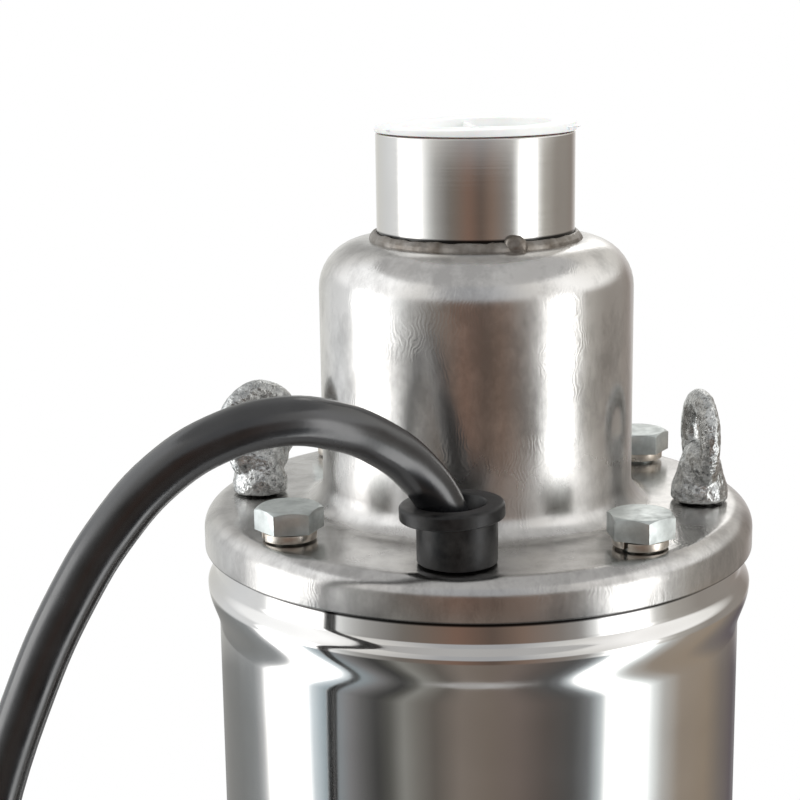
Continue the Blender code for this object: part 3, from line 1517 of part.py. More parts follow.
def make_stages():
    makers = {"impeller": make_impeller, "stage_bowl": make_bowl, "diffuser": make_diffuser}
    for name, make in makers.items():
        first = make()
        for number in range(STAGE_COUNT):
            piece = first if number == 0 else copy_of(first, f"{name}_{number + 1}")
            piece.location.z = STAGE_BASE + number * STAGE_PITCH


def make_impeller_nut():
    top = STAGE_BASE - SEAT
    nut = cylinders(
        "impeller_nut", [(0, 0)], hexagon(NUT_FLATS), top - NUT_HEIGHT, top, BEARING_STEEL, 6, parts
    )
    bore = SHAFT_END_RADIUS + SEAT
    cut(nut, cylinders("nut_hole", [(0, 0)], bore, top - 2 * NUT_HEIGHT, top + SEAT))


# Suction end


def make_suction_plate():
    top = STAGE_BASE - SEAT
    flange_top = SUCTION_BOTTOM + SUCTION_FLANGE
    rim = CASING_RADIUS - CASING_WALL - 2 * SEAT
    plate = turned(
        "suction_plate",
        [
            (SUCTION_THROAT, top),
            (COLUMN_RADIUS, top),
            (COLUMN_RADIUS, flange_top),
            (rim, flange_top),
            (rim, SUCTION_BOTTOM),
            (COLUMN_RADIUS - SUCTION_SHELL, SUCTION_BOTTOM),
            (COLUMN_RADIUS - SUCTION_SHELL, top - SUCTION_SHELL),
            (SUCTION_MOUTH, top - SUCTION_SHELL),
            (SUCTION_MOUTH - SUCTION_LEAD, top - SUCTION_SHELL - SUCTION_LEAD / 2),
            (SUCTION_THROAT, top - SUCTION_SHELL + SUCTION_LEAD / 3),
        ],
        CAST_IRON,
    )
    ties = round_places(TIE_CIRCLE, QUARTERS)
    low, high = SUCTION_BOTTOM - SUCTION_FLANGE, flange_top + SUCTION_FLANGE
    cut(plate, cylinders("suction_tie_holes", ties, TIE_HOLE, low, high, segments=TINY_ROUND))


def make_strainer():
    """Slotted sleeve: a thin wall with every second panel of its middle band left out."""
    bottom = FOOT_PLATE_TOP + SEAT
    top = CASING_BOTTOM - SEAT
    heights = (bottom, bottom + STRAINER_BAND, top - STRAINER_BAND, top)
    pitch = 360 / STRAINER_SLOTS
    angles = []
    for slot in range(STRAINER_SLOTS):
        angles += [slot * pitch, slot * pitch + STRAINER_SLOT_SHARE * pitch]
    form = bmesh.new()
    rows = []
    for height in heights:
        places = round_places(STRAINER_RADIUS, angles)
        rows.append([form.verts.new((*place, height)) for place in places])
    for level, (lower, upper) in enumerate(zip(rows, rows[1:])):
        for panel in range(len(angles)):
            if level == 1 and panel % 2 == 0:
                continue
            after = (panel + 1) % len(angles)
            form.faces.new((lower[panel], lower[after], upper[after], upper[panel]))
    mesh = bpy.data.meshes.new("strainer")
    form.to_mesh(mesh)
    form.free()
    strainer = add("strainer", mesh, SATIN_STEEL)
    wall = strainer.modifiers.new("Wall", "SOLIDIFY")
    wall.thickness = STRAINER_WALL
    wall.offset = -1
    wall.use_even_offset = False


def make_foot():
    plate_bottom = FOOT_PLATE_TOP - FOOT_PLATE
    inner = FOOT_RADIUS - FOOT_RIM_WALL
    foot = turned(
        "base_foot",
        [
            (0, FOOT_PLATE_TOP),
            (FOOT_RADIUS, FOOT_PLATE_TOP),
            (FOOT_RADIUS, 0),
            (FOOT_RADIUS - FOOT_FLANGE, 0),
            (FOOT_RADIUS - FOOT_FLANGE, FOOT_FLANGE_THICKNESS),
            (inner, FOOT_FLANGE_THICKNESS),
            (inner, plate_bottom),
            (0, plate_bottom),
        ],
        SATIN_STEEL,
        LARGE_ROUND,
    )
    ties = round_places(TIE_CIRCLE, QUARTERS)
    low, high = plate_bottom - FOOT_PLATE, FOOT_PLATE_TOP + FOOT_PLATE
    cut(foot, cylinders("foot_tie_holes", ties, TIE_HOLE, low, high, segments=TINY_ROUND))


def make_tie_bolts():
    """Long bolts put in from under the foot: the heads bear up on its plate."""
    head_face = FOOT_PLATE_TOP - FOOT_PLATE - SEAT
    corner = hexagon(TIE_HEAD_FLATS)
    bolt = cylinders("tie_bolt_1", [(0, 0)], corner, -TIE_HEAD, 0, ZINC, 6, parts)
    rod = cylinders("tie_rod", [(0, 0)], TIE_RADIUS, -TIE_HEAD / 2, TIE_TOP - head_face, segments=TINY_ROUND)
    join(bolt, rod)
    bolt = shade(as_mesh(bolt))
    for number, degrees in enumerate(QUARTERS, 1):
        piece = bolt if number == 1 else copy_of(bolt, f"tie_bolt_{number}")
        piece.location = (*round_place(TIE_CIRCLE, degrees), head_face)
        piece.rotation_euler.z = math.radians(degrees)


make_cover()
make_socket()
make_cap()
make_cover_bolts()
make_eye_bolt("eye_bolt_left", -1)
make_eye_bolt("eye_bolt_right", 1)
make_grommet()
make_cable()
make_plug()
make_casing()
make_gasket()
make_top_bracket()
make_capacitor()
make_upper_bearing_plate()
make_bearing(
    "upper_bearing",
    UPPER_BEARING_BORE,
    UPPER_BEARING_OUTER,
    UPPER_BEARING_BOTTOM,
    UPPER_BEARING_BOTTOM + UPPER_BEARING_HEIGHT,
)
make_bearing(
    "lower_bearing",
    LOWER_BEARING_BORE,
    LOWER_BEARING_OUTER,
    LOWER_BEARING_BOTTOM,
    LOWER_BEARING_BOTTOM + LOWER_BEARING_HEIGHT,
)
make_wave_spring()
make_shell()
make_stator()
make_rotor_core()
make_shaft()
make_lower_bracket()
make_oil_chamber()
make_oil_screw()
make_seals()
make_stages()
make_impeller_nut()
make_suction_plate()
make_strainer()
make_foot()
make_tie_bolts()
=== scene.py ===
# %% [markdown]
# # A submersible pump, dressed
#
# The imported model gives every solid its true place. This file keeps those places, models each
# piece that can be seen again with finer curves, and gives every surface a finish of its own.

import math

import bmesh
import bpy
from mathutils import Matrix, Vector


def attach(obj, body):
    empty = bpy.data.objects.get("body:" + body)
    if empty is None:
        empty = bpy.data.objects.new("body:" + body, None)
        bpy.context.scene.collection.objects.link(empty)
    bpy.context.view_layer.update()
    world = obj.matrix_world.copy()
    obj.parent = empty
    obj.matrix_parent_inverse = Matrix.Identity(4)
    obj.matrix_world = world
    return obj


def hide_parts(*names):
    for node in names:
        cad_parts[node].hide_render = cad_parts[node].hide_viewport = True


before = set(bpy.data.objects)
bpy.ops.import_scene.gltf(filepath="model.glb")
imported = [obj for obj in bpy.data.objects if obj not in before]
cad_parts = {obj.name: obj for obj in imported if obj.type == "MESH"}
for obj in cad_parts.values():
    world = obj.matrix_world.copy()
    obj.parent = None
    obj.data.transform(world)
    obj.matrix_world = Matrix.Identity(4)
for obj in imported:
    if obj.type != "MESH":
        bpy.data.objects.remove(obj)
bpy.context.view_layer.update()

# %% [markdown]
# The camera comes first, because the cable has to be laid out so that its coil stays outside
# the picture. It looks slightly down at the cover, from close by, with a long lens.

# %% Camera
camera_data = bpy.data.cameras.new("camera")
camera_data.lens = 82.44
camera_data.sensor_width = 36
camera_data.clip_start, camera_data.clip_end = 0.01, 50
camera = bpy.data.objects.new("camera", camera_data)
right = Vector((0.99293, 0.11789, -0.01353)).normalized()
up = Vector((-0.01247, 0.21700, 0.97609)).normalized()
back = right.cross(up)
place = Matrix((right, up, back)).transposed().to_4x4()
place.translation = (0.03477, -0.44180, 0.53316)
camera.matrix_world = place
bpy.context.scene.collection.objects.link(camera)
bpy.context.scene.camera = camera
bpy.context.scene.view_settings.view_transform = "Standard"
print("camera looks along", tuple(round(v, 3) for v in -back))

# %% [markdown]
# The supply cable is ten metres of heavy rubber cable, 10.4 mm thick. It stands straight up out of
# its grommet, bends over in one stiff arch and falls beside the pump. The spare length is wound
# there in a round coil, four turns across and six high, on which the cable lands. Its other end
# leaves at the bottom and goes into the mains plug. One open curve follows the whole route, so
# nothing has to be joined.

# %% Route of the cable
COVER_TOP = 0.410
GROMMET_Y = -0.0555
CABLE_RADIUS = 0.0052
COIL_X, COIL_Y = -0.165, -0.028
LANES = (0.0416, 0.0520, 0.0624, 0.0728)
LAYER = 0.0102
ARCH = (
    (0.0, 0.0, -0.034), (0.0, 0.0, -0.018), (-0.0001, 0.0, -0.006), (-0.0009, -0.0001, 0.0045),
    (-0.0034, -0.0008, 0.0135), (-0.0086, -0.0040, 0.0222), (-0.0155, -0.0110, 0.0298),
    (-0.0235, -0.0200, 0.0355), (-0.0340, -0.0277, 0.0380), (-0.0460, -0.0321, 0.0352),
    (-0.0570, -0.0343, 0.0282), (-0.0670, -0.0360, 0.0172), (-0.0760, -0.0375, 0.0030),
    (-0.0850, -0.0393, -0.0160),
)
FALL = (
    (-0.0965, 0.0040, 0.3600), (-0.1083, 0.0018, 0.2981), (-0.1148, 0.0005, 0.2300),
    (-0.1176, 0.0, 0.1730),
)
LANDING_Z, LANDING_REACH, LANDING_DROP = 0.0674, 0.0465, 0.0518

landing_line = COIL_Y - LANES[3]
route = [(x, y + GROMMET_Y, z + COVER_TOP) for x, y, z in ARCH]
route += [(x, landing_line + side, z) for x, side, z in FALL]
for degrees in (0, 30, 60):
    angle = math.radians(degrees)
    height = LANDING_Z + LANDING_DROP * (1 - math.sin(angle))
    route.append((COIL_X + LANDING_REACH * math.cos(angle), landing_line, height))

# %% Coil: each turn has a lane and a layer, and slides into those of the next turn
inward, outward = (3, 2, 1, 0), (0, 1, 2, 3)
slots = [(3, 6)]
for layer in (5, 4, 3, 2, 1, 0):
    slots += [(lane, layer) for lane in (inward if layer % 2 else outward)]
BOTTOM_Z = 0.0062
STEPS = 24
TURN_COUNT = 24 + 165 / 360


def on_circle(radius, angle, height=0, middle=(0, 0)):
    """The point of a level circle at an angle."""
    return (middle[0] + radius * math.cos(angle), middle[1] + radius * math.sin(angle), height)


def eased(share, start):
    """Stays at nothing up to the start, then goes softly up to one."""
    t = max(0.0, (share - start) / (1 - start))
    return t * t * (3 - 2 * t)


for step in range(int(TURN_COUNT * STEPS) + 1):
    turn, share = divmod(step / STEPS, 1)
    lane, layer = slots[int(turn)]
    next_lane, next_layer = slots[min(int(turn) + 1, len(slots) - 1)]
    radius = LANES[lane] + (LANES[next_lane] - LANES[lane]) * eased(share, 0.2)
    height = BOTTOM_Z + LAYER * (layer + (next_layer - layer) * eased(share, 0.66))
    angle = math.radians(-90 - 360 * step / STEPS)
    route.append(on_circle(radius, angle, height, (COIL_X, COIL_Y)))

# %% Tail, along the tangent of the bottom turn
TAIL_AZIMUTH = math.radians(105)
touch = Vector(on_circle(LANES[3], TAIL_AZIMUTH, BOTTOM_Z, (COIL_X, COIL_Y)))
ahead = Vector((math.sin(TAIL_AZIMUTH), -math.cos(TAIL_AZIMUTH), 0))
PLUG_TILT = math.radians(16.5)
TAIL = ((0.014, 0), (0.028, 0), (0.041, 0.0002), (0.053, 0.0011), (0.0645, 0.0030))
for along, rise in TAIL:
    route.append(tuple(touch + ahead * along + Vector((0, 0, rise))))
plug_back = Vector(route[-1])
print("points on the cable:", len(route))

# %% Cable
cable_curve = bpy.data.curves.new("supply_cable_run", "CURVE")
cable_curve.dimensions = "3D"
cable_curve.bevel_depth = CABLE_RADIUS
cable_curve.bevel_resolution = 6
cable_curve.resolution_u = 6
cable_curve.use_fill_caps = True
run = cable_curve.splines.new("BEZIER")
run.bezier_points.add(len(route) - 1)
for point, spot in zip(run.bezier_points, route):
    point.co = spot
    point.handle_left_type = point.handle_right_type = "AUTO"
cable = bpy.data.objects.new("supply_cable_run", cable_curve)
bpy.context.scene.collection.objects.link(cable)
length = sum((Vector(b) - Vector(a)).length for a, b in zip(route, route[1:]))
print("cable length:", round(length, 2), "m")

# %% [markdown]
# ## Finishes
#
# Every finish is a Principled shader. Its colour, roughness and bump come from noise on Object
# coordinates, because each piece sits untransformed at the origin and its pattern must not
# slide. A few small helpers keep the node trees short.

# %% Helpers for node trees
def finish(name, **values):
    """A new material, its Principled shader set with the given values."""
    made = bpy.data.materials.new(name)
    made.use_nodes = True
    shader = made.node_tree.nodes["Principled BSDF"]
    for key, value in values.items():
        shader.inputs[key.replace("_", " ")].default_value = value
    print("finish:", name)
    return made


def put(material, kind, links=None, **values):
    """Adds a node. Keyword values set its properties or its inputs, and links feeds its inputs."""
    made = material.node_tree.nodes.new(kind)
    for key, value in values.items():
        if hasattr(made, key):
            setattr(made, key, value)
        else:
            made.inputs[key.replace("_", " ")].default_value = value
    for key, source in (links or {}).items():
        material.node_tree.links.new(source, made.inputs[key])
    return made


def place_on(material):
    return put(material, "ShaderNodeTexCoord").outputs["Object"]


def mapped(material, stretch=(1, 1, 1), turn=(0, 0, 0)):
    """Object coordinates, stretched and turned."""
    links = {"Vector": place_on(material)}
    return put(material, "ShaderNodeMapping", links, Scale=stretch, Rotation=turn).outputs["Vector"]


def noise(material, stretch=(1, 1, 1), scale=100, detail=3, rough=0.55, turn=(0, 0, 0)):
    """Noise, stretched: a small number draws it out along that axis."""
    spot = mapped(material, stretch, turn)
    made = put(
        material, "ShaderNodeTexNoise", {"Vector": spot}, Scale=scale, Detail=detail, Roughness=rough
    )
    return made.outputs["Fac"]


def ranged(material, source, low, high, start=0.3, end=0.7):
    """Stretches a noise, which lies around a half, to the range from low to high."""
    limits = {"From_Min": start, "From_Max": end, "To_Min": low, "To_Max": high}
    return put(material, "ShaderNodeMapRange", {"Value": source}, **limits).outputs["Result"]


def tinted(material, source, dark, light, start=0.3, end=0.7):
    """Colour that a noise moves between two shades."""
    made = put(material, "ShaderNodeValToRGB", {"Fac": source})
    first, second = made.color_ramp.elements
    first.position, second.position = start, end
    first.color, second.color = (*dark, 1), (*light, 1)
    return made.outputs["Color"]


def feed(material, name, source):
    material.node_tree.links.new(source, material.node_tree.nodes["Principled BSDF"].inputs[name])


def bump(material, *layers):
    """Feeds the normal with bumps that lie one on the other, each a source and a depth in metres."""
    below = {}
    for source, depth in layers:
        made = put(material, "ShaderNodeBump", {"Height": source, **below}, Distance=depth)
        below = {"Normal": made.outputs["Normal"]}
    feed(material, "Normal", made.outputs["Normal"])


def height_on(material):
    return put(material, "ShaderNodeSeparateXYZ", {"Vector": place_on(material)}).outputs["Z"]


def by_height(material, heights, below, above):
    """A value that goes from one to the other between two heights."""
    return ranged(material, height_on(material), below, above, *heights)


def scaled(material, colour, factor):
    made = put(material, "ShaderNodeVectorMath", {0: colour, "Scale": factor}, operation="SCALE")
    return made.outputs["Vector"]


def added(material, first, second):
    return put(material, "ShaderNodeMath", {0: first, 1: second}, operation="ADD").outputs[0]


# %% [markdown]
# ### Steel
#
# One steel is used for the casing, the cover and the socket, but each was worked in another way.
# The casing is rolled and buffed like a mirror. The cover and bell are pressed and then polished
# by hand, which leaves short scratches in all directions. The socket comes off a lathe and keeps
# its fine rings. So their colours are close, and roughness and bump make the difference. Each
# finish is also painted dark at the height of its seam, as a painted shadow in the gap there.

# %% Buffed steel of the casing, with painted shade in the joint below the cover
STEEL_DARK, STEEL_LIGHT = (0.56, 0.545, 0.525), (0.66, 0.65, 0.635)
JOINT_PAINTED_SHADE = (0.3983, 0.3987)

mirror_steel = finish("buffed_casing_steel", Metallic=1, Roughness=0.10)
metal = tinted(mirror_steel, noise(mirror_steel, scale=25), STEEL_DARK, STEEL_LIGHT)
# Painted shade: above these heights the casing's colour drops to 4 percent, a painted shadow in the gap under
# the cover's skirt.
metal = scaled(mirror_steel, metal, by_height(mirror_steel, JOINT_PAINTED_SHADE, 1, 0.04))
feed(mirror_steel, "Base Color", metal)
wipe = noise(mirror_steel, (1, 1, 0.08), scale=160, detail=4)
feed(mirror_steel, "Roughness", ranged(mirror_steel, wipe, 0.06, 0.13))
rings = noise(mirror_steel, (0.02, 0.02, 1), scale=900, detail=2)
bump(mirror_steel, (rings, 0.0000012))

# %% Hand polished steel of the cover: its lip, flat top and the bell's foot differ from the rest
LIP_PAINTED_SHADE, FLAT_TOP_SHADE, FLAT_TOP_GLOSS = (0.4001, 0.4005), (0.4102, 0.4107), (0.4102, 0.4110)
BELL_FOOT = (0.4190, 0.4340)

hand_steel = finish("hand_polished_steel", Metallic=1, Roughness=0.2)
metal = tinted(hand_steel, noise(hand_steel, scale=38, detail=4), STEEL_DARK, STEEL_LIGHT)
stain = noise(hand_steel, (1, 1, 0.6), scale=95, detail=6, rough=0.7)
metal = scaled(hand_steel, metal, ranged(hand_steel, stain, 0.80, 1.06, 0.38, 0.56))
metal = scaled(hand_steel, metal, by_height(hand_steel, FLAT_TOP_SHADE, 0.84, 1))
# Painted shade: below the lip's heights the colour drops to 8 percent, a painted shadow line at the cover's
# lower edge. The strainer and foot share this finish and lie lower, so they are darkened as much.
metal = scaled(hand_steel, metal, by_height(hand_steel, LIP_PAINTED_SHADE, 0.08, 1))
feed(hand_steel, "Base Color", metal)
smears = noise(hand_steel, (1, 1, 0.35), scale=70, detail=5, rough=0.65)
polish = ranged(hand_steel, smears, 0.12, 0.27)
polish = added(hand_steel, polish, by_height(hand_steel, FLAT_TOP_GLOSS, -0.10, 0))
polish = added(hand_steel, polish, by_height(hand_steel, BELL_FOOT, 0.13, 0))
feed(hand_steel, "Roughness", polish)

# %% Its dents, scratches in three directions, and patches rubbed in small swirls
SCRATCH = 0.000007
dents = noise(hand_steel, scale=55, detail=2)
upright = noise(hand_steel, (1, 1, 0.03), scale=900, detail=3)
crossing = noise(hand_steel, (0.5, 1, 0.05), scale=620, detail=2, turn=(-0.5, 0.9, 0.2))
slanted = noise(hand_steel, (0.06, 1, 0.5), scale=800, detail=2, turn=(0.3, 0.5, 0.8))
strokes = put(
    hand_steel, "ShaderNodeTexWave", {"Vector": place_on(hand_steel)},
    Scale=300, Distortion=22, Detail=3, Detail_Scale=0.6,
).outputs["Fac"]
patches = ranged(hand_steel, noise(hand_steel, scale=60, detail=2), 0, 1, 0.50, 0.62)
rubbed = put(hand_steel, "ShaderNodeMath", {0: strokes, 1: patches}, operation="MULTIPLY").outputs[0]
bump(
    hand_steel, (dents, 0.00010), (upright, SCRATCH), (crossing, SCRATCH), (rubbed, 0.000011),
    (slanted, SCRATCH),
)

# %% Turned steel of the socket, and the steel of its weld
# Heights of painted shade where the socket meets the weld and where the weld meets the bell.
SOCKET_FOOT_PAINTED_SHADE, WELD_FOOT_PAINTED_SHADE = (0.4772, 0.4776), (0.4739, 0.4745)

lathe_steel = finish("turned_socket_steel", Metallic=1, Roughness=0.22)
metal = tinted(lathe_steel, noise(lathe_steel, scale=30), (0.60, 0.585, 0.56), (0.68, 0.67, 0.65))
# Painted shade: below these heights the socket's colour drops to 5 percent, a painted shadow line where the
# weld bead meets it.
metal = scaled(lathe_steel, metal, by_height(lathe_steel, SOCKET_FOOT_PAINTED_SHADE, 0.05, 1))
feed(lathe_steel, "Base Color", metal)
rings = noise(lathe_steel, (0.01, 0.01, 1), scale=3200, detail=3, rough=0.7)
feed(lathe_steel, "Roughness", ranged(lathe_steel, rings, 0.10, 0.19))
bump(lathe_steel, (rings, 0.0000035))

weld_steel = finish("weld_bead_steel", Metallic=1, Roughness=0.3)
heat = noise(weld_steel, scale=210, detail=4)
metal = tinted(weld_steel, heat, (0.15, 0.128, 0.106), (0.36, 0.34, 0.315))
# Painted shade: below these heights the weld's colour drops to 15 percent, a painted shadow line where the
# bead meets the bell.
metal = scaled(weld_steel, metal, by_height(weld_steel, WELD_FOOT_PAINTED_SHADE, 0.15, 1))
feed(weld_steel, "Base Color", metal)
feed(weld_steel, "Roughness", ranged(weld_steel, heat, 0.44, 0.26))
bump(weld_steel, (noise(weld_steel, scale=700, detail=2), 0.00008))

# %% [markdown]
# ### Zinc
#
# The bolts are zinc plated, which shows as a pale, faintly greenish film that is cloudy rather
# than bright. The eye bolts are dipped in molten zinc instead: that coat is thick, rough and
# mottled in light and dark grey, with small lumps where it ran.

# %% Zinc and spring steel
zinc = finish("zinc_plated_steel", Metallic=1, Roughness=0.34)
film = noise(zinc, scale=260, detail=4)
feed(zinc, "Base Color", tinted(zinc, film, (0.46, 0.49, 0.48), (0.70, 0.74, 0.73)))
feed(zinc, "Roughness", ranged(zinc, film, 0.52, 0.34))
coarse, fine = noise(zinc, scale=260, detail=3), noise(zinc, scale=900, detail=3)
bump(zinc, (coarse, 0.00008), (fine, 0.00004))

dipped = finish("dipped_zinc_casting", Metallic=1, Roughness=0.45)
spangle = noise(dipped, scale=700, detail=6, rough=0.8)
metal = tinted(dipped, spangle, (0.36, 0.37, 0.37), (0.70, 0.71, 0.70), 0.40, 0.60)
pits = noise(dipped, scale=1300, detail=2, rough=0.4)
feed(dipped, "Base Color", scaled(dipped, metal, ranged(dipped, pits, 0.35, 1, 0.30, 0.38)))
feed(dipped, "Roughness", ranged(dipped, noise(dipped, scale=300, detail=3), 0.30, 0.12))
coarse, fine = noise(dipped, scale=240, detail=2), noise(dipped, scale=620, detail=4, rough=0.65)
bump(dipped, (coarse, 0.0010), (fine, 0.00036), (pits, 0.00020))

spring = finish("spring_washer_steel", Metallic=1, Roughness=0.32)
bloom = noise(spring, scale=420, detail=3)
feed(spring, "Base Color", tinted(spring, bloom, (0.50, 0.44, 0.37), (0.72, 0.68, 0.62)))
feed(spring, "Roughness", ranged(spring, bloom, 0.42, 0.24))

# %% [markdown]
# ### Rubber and plastic
#
# Cable, grommet and plug are three rubbers. The cable's jacket is extruded and smooth, so it
# carries long highlights. The grommet is moulded and duller. The transport cap is soft white
# plastic that lets a little light in, so it gets some subsurface.

# %% Rubber and plastic finishes
jacket = finish("cable_jacket_rubber", Roughness=0.3, Specular_IOR_Level=1.0)
dust = noise(jacket, scale=120, detail=4)
feed(jacket, "Base Color", tinted(jacket, dust, (0.003, 0.0033, 0.0042), (0.008, 0.0084, 0.0096)))
feed(jacket, "Roughness", ranged(jacket, dust, 0.17, 0.28))
bump(jacket, (noise(jacket, scale=1100, detail=2), 0.000012))

bush_rubber = finish("grommet_rubber", Roughness=0.42, Specular_IOR_Level=0.35)
talc = noise(bush_rubber, scale=240, detail=4)
chalked = tinted(bush_rubber, talc, (0.004, 0.004, 0.0045), (0.019, 0.018, 0.017), 0.38, 0.66)
feed(bush_rubber, "Base Color", chalked)
feed(bush_rubber, "Roughness", ranged(bush_rubber, talc, 0.30, 0.50))
mould_rings, grain = noise(bush_rubber, (0.03, 0.03, 1), scale=1500), noise(bush_rubber, scale=1300)
bump(bush_rubber, (mould_rings, 0.00002), (grain, 0.00002))

plug_rubber = finish("plug_rubber", Roughness=0.5)
grain = noise(plug_rubber, scale=900, detail=3)
feed(plug_rubber, "Base Color", tinted(plug_rubber, grain, (0.016, 0.016, 0.017), (0.030, 0.030, 0.031)))
feed(plug_rubber, "Roughness", ranged(plug_rubber, grain, 0.44, 0.58))
bump(plug_rubber, (grain, 0.00003))

tie_fabric = finish("hook_tie_fabric", Roughness=0.8)
weave = noise(tie_fabric, scale=1800, detail=2)
feed(tie_fabric, "Base Color", tinted(tie_fabric, weave, (0.020, 0.020, 0.022), (0.055, 0.055, 0.058)))
bump(tie_fabric, (weave, 0.00015))

white_plastic = finish("white_cap_plastic", Roughness=0.38, Subsurface_Weight=0.15, Subsurface_Scale=0.004)
scuff = noise(white_plastic, scale=150, detail=4)
feed(white_plastic, "Base Color", tinted(white_plastic, scuff, (0.86, 0.87, 0.86), (0.92, 0.92, 0.91)))
feed(white_plastic, "Roughness", ranged(white_plastic, scuff, 0.32, 0.46))
bump(white_plastic, (noise(white_plastic, scale=600), 0.00004))

plated_brass = finish("nickel_plated_brass", Metallic=1, Roughness=0.2)
wear = noise(plated_brass, scale=500, detail=3)
feed(plated_brass, "Base Color", tinted(plated_brass, wear, (0.62, 0.58, 0.48), (0.74, 0.72, 0.66)))
feed(plated_brass, "Roughness", ranged(plated_brass, wear, 0.14, 0.28))

# %% [markdown]
# ## Studio
#
# Polished steel has no colour of its own: it shows the room. So the room is made as carefully as
# the metal. A wide ring of walls stands round the pump and only shows in reflections. It is dark
# and brownish behind the camera, has a bright window on either side, and is a dull grey-brown on
# the right. Its shades change with height, and it goes on below the floor, which the metal doesn't
# show, so that the casing mirrors a dark room as the bell does. The floor and the world are white
# to the camera, and a large soft lamp above, two side lamps and an even sky light the pump at a
# plain level.

# %% Reflected walls: azimuth and shade, level with the bell, down at the table, and up high
BRIGHTEST = 3.2
WINDOW = (BRIGHTEST, BRIGHTEST, BRIGHTEST)
WALLS_LEVEL = (
    (-180, (0.95, 0.95, 0.93)), (-150, (0.80, 0.80, 0.77)), (-120, (0.90, 0.92, 0.94)),
    (-108, (0.98, 1.00, 1.02)), (-99, (0.98, 1.00, 1.02)), (-93, WINDOW), (-70, WINDOW),
    (-62, (1.50, 1.52, 1.54)), (-54, (0.84, 0.86, 0.86)), (-46, (0.50, 0.50, 0.49)),
    (-37, (0.34, 0.33, 0.32)), (-30, (0.24, 0.22, 0.20)), (-20, (0.24, 0.19, 0.16)),
    (-8, (0.27, 0.17, 0.13)), (6, (0.16, 0.12, 0.10)), (18, (0.28, 0.20, 0.16)), (34, (0.30, 0.27, 0.25)),
    (42, (0.40, 0.39, 0.38)), (48, (1.10, 1.12, 1.12)), (54, WINDOW), (70, WINDOW),
    (76, (1.00, 1.00, 0.98)), (84, (0.56, 0.54, 0.50)), (104, (0.38, 0.35, 0.32)),
    (124, (0.38, 0.35, 0.32)), (142, (0.34, 0.30, 0.27)), (154, (0.60, 0.56, 0.54)),
    (168, (0.90, 0.88, 0.85)), (180, (0.95, 0.95, 0.93)),
)
WALLS_LOW = (
    (-180, (0.40, 0.40, 0.40)), (-153, (0.30, 0.30, 0.29)), (-128, (0.28, 0.29, 0.29)),
    (-113, (0.34, 0.36, 0.37)), (-106, (0.70, 0.72, 0.74)), (-101, WINDOW), (-80, WINDOW),
    (-75, (0.95, 1.05, 1.12)), (-68, (0.46, 0.55, 0.60)), (-56, (0.29, 0.29, 0.30)),
    (-50, (0.17, 0.17, 0.17)), (-43, (0.07, 0.07, 0.07)), (-37, (0.14, 0.14, 0.13)),
    (-31, (0.36, 0.36, 0.34)), (-25, (0.26, 0.25, 0.23)), (-18, (0.17, 0.155, 0.14)),
    (-7, (0.29, 0.25, 0.22)), (5, (0.25, 0.21, 0.18)), (16, (0.23, 0.19, 0.17)), (28, (0.15, 0.13, 0.12)),
    (40, (0.12, 0.12, 0.12)), (47, (0.22, 0.23, 0.24)), (53, (0.80, 0.88, 0.92)), (58, WINDOW),
    (72, WINDOW), (78, (1.30, 1.38, 1.40)), (85, (0.66, 0.66, 0.64)), (96, (0.42, 0.36, 0.30)),
    (116, (0.40, 0.33, 0.26)), (132, (0.25, 0.22, 0.20)), (150, (0.15, 0.13, 0.14)),
    (180, (0.40, 0.40, 0.40)),
)
WALLS_HIGH = (
    (-180, (0.60, 0.60, 0.58)), (-174, (0.46, 0.46, 0.45)), (-164, (0.50, 0.50, 0.49)),
    (-145, (0.80, 0.80, 0.79)), (-120, (1.30, 1.32, 1.34)), (-75, (1.60, 1.62, 1.64)),
    (-45, (0.95, 0.94, 0.92)), (-15, (0.55, 0.56, 0.58)), (15, (0.55, 0.56, 0.58)),
    (45, (0.95, 0.94, 0.92)), (75, (1.50, 1.50, 1.50)), (110, (1.20, 1.19, 1.16)),
    (145, (0.80, 0.78, 0.74)), (160, (0.80, 0.78, 0.74)), (165, (2.10, 2.08, 2.04)),
    (172, (2.00, 1.98, 1.94)), (176, (0.70, 0.70, 0.68)), (180, (0.60, 0.60, 0.58)),
)
LOW_TO_LEVEL, LEVEL_TO_HIGH = (0.01, 0.09), (0.57, 0.73)
GRADIENT_TURN = math.radians(85.5)
print("wall zones:", len(WALLS_LEVEL), len(WALLS_LOW), len(WALLS_HIGH))

# %% Ring of walls
bpy.ops.object.select_all(action="DESELECT")
bpy.ops.mesh.primitive_cylinder_add(
    vertices=96, radius=0.95, depth=2.6, end_fill_type="NOTHING", location=(0, 0, 0.1)
)
walls = bpy.context.object
walls.name = "studio_walls"
bpy.ops.object.transform_apply()
walls.visible_camera = walls.visible_diffuse = walls.visible_shadow = False
walls.visible_transmission = False

wall_light = bpy.data.materials.new("studio_walls")
wall_light.use_nodes = True
wall_light.node_tree.nodes.clear()
spot = mapped(wall_light, turn=(0, 0, GRADIENT_TURN))
around = put(wall_light, "ShaderNodeTexGradient", {"Vector": spot}, gradient_type="RADIAL").outputs["Fac"]


def wall_glow(zones):
    """Light of the walls at one height: the ramp holds shares of the brightest shade."""
    ramp = put(wall_light, "ShaderNodeValToRGB", {"Fac": around})
    while len(ramp.color_ramp.elements) < len(zones):
        ramp.color_ramp.elements.new(1.0)
    for element, (azimuth, shade) in zip(ramp.color_ramp.elements, zones):
        element.position = (azimuth + 180) / 360
        element.color = (*(value / BRIGHTEST for value in shade), 1)
    made = put(wall_light, "ShaderNodeEmission", {"Color": ramp.outputs["Color"]}, Strength=BRIGHTEST)
    return made.outputs["Emission"]


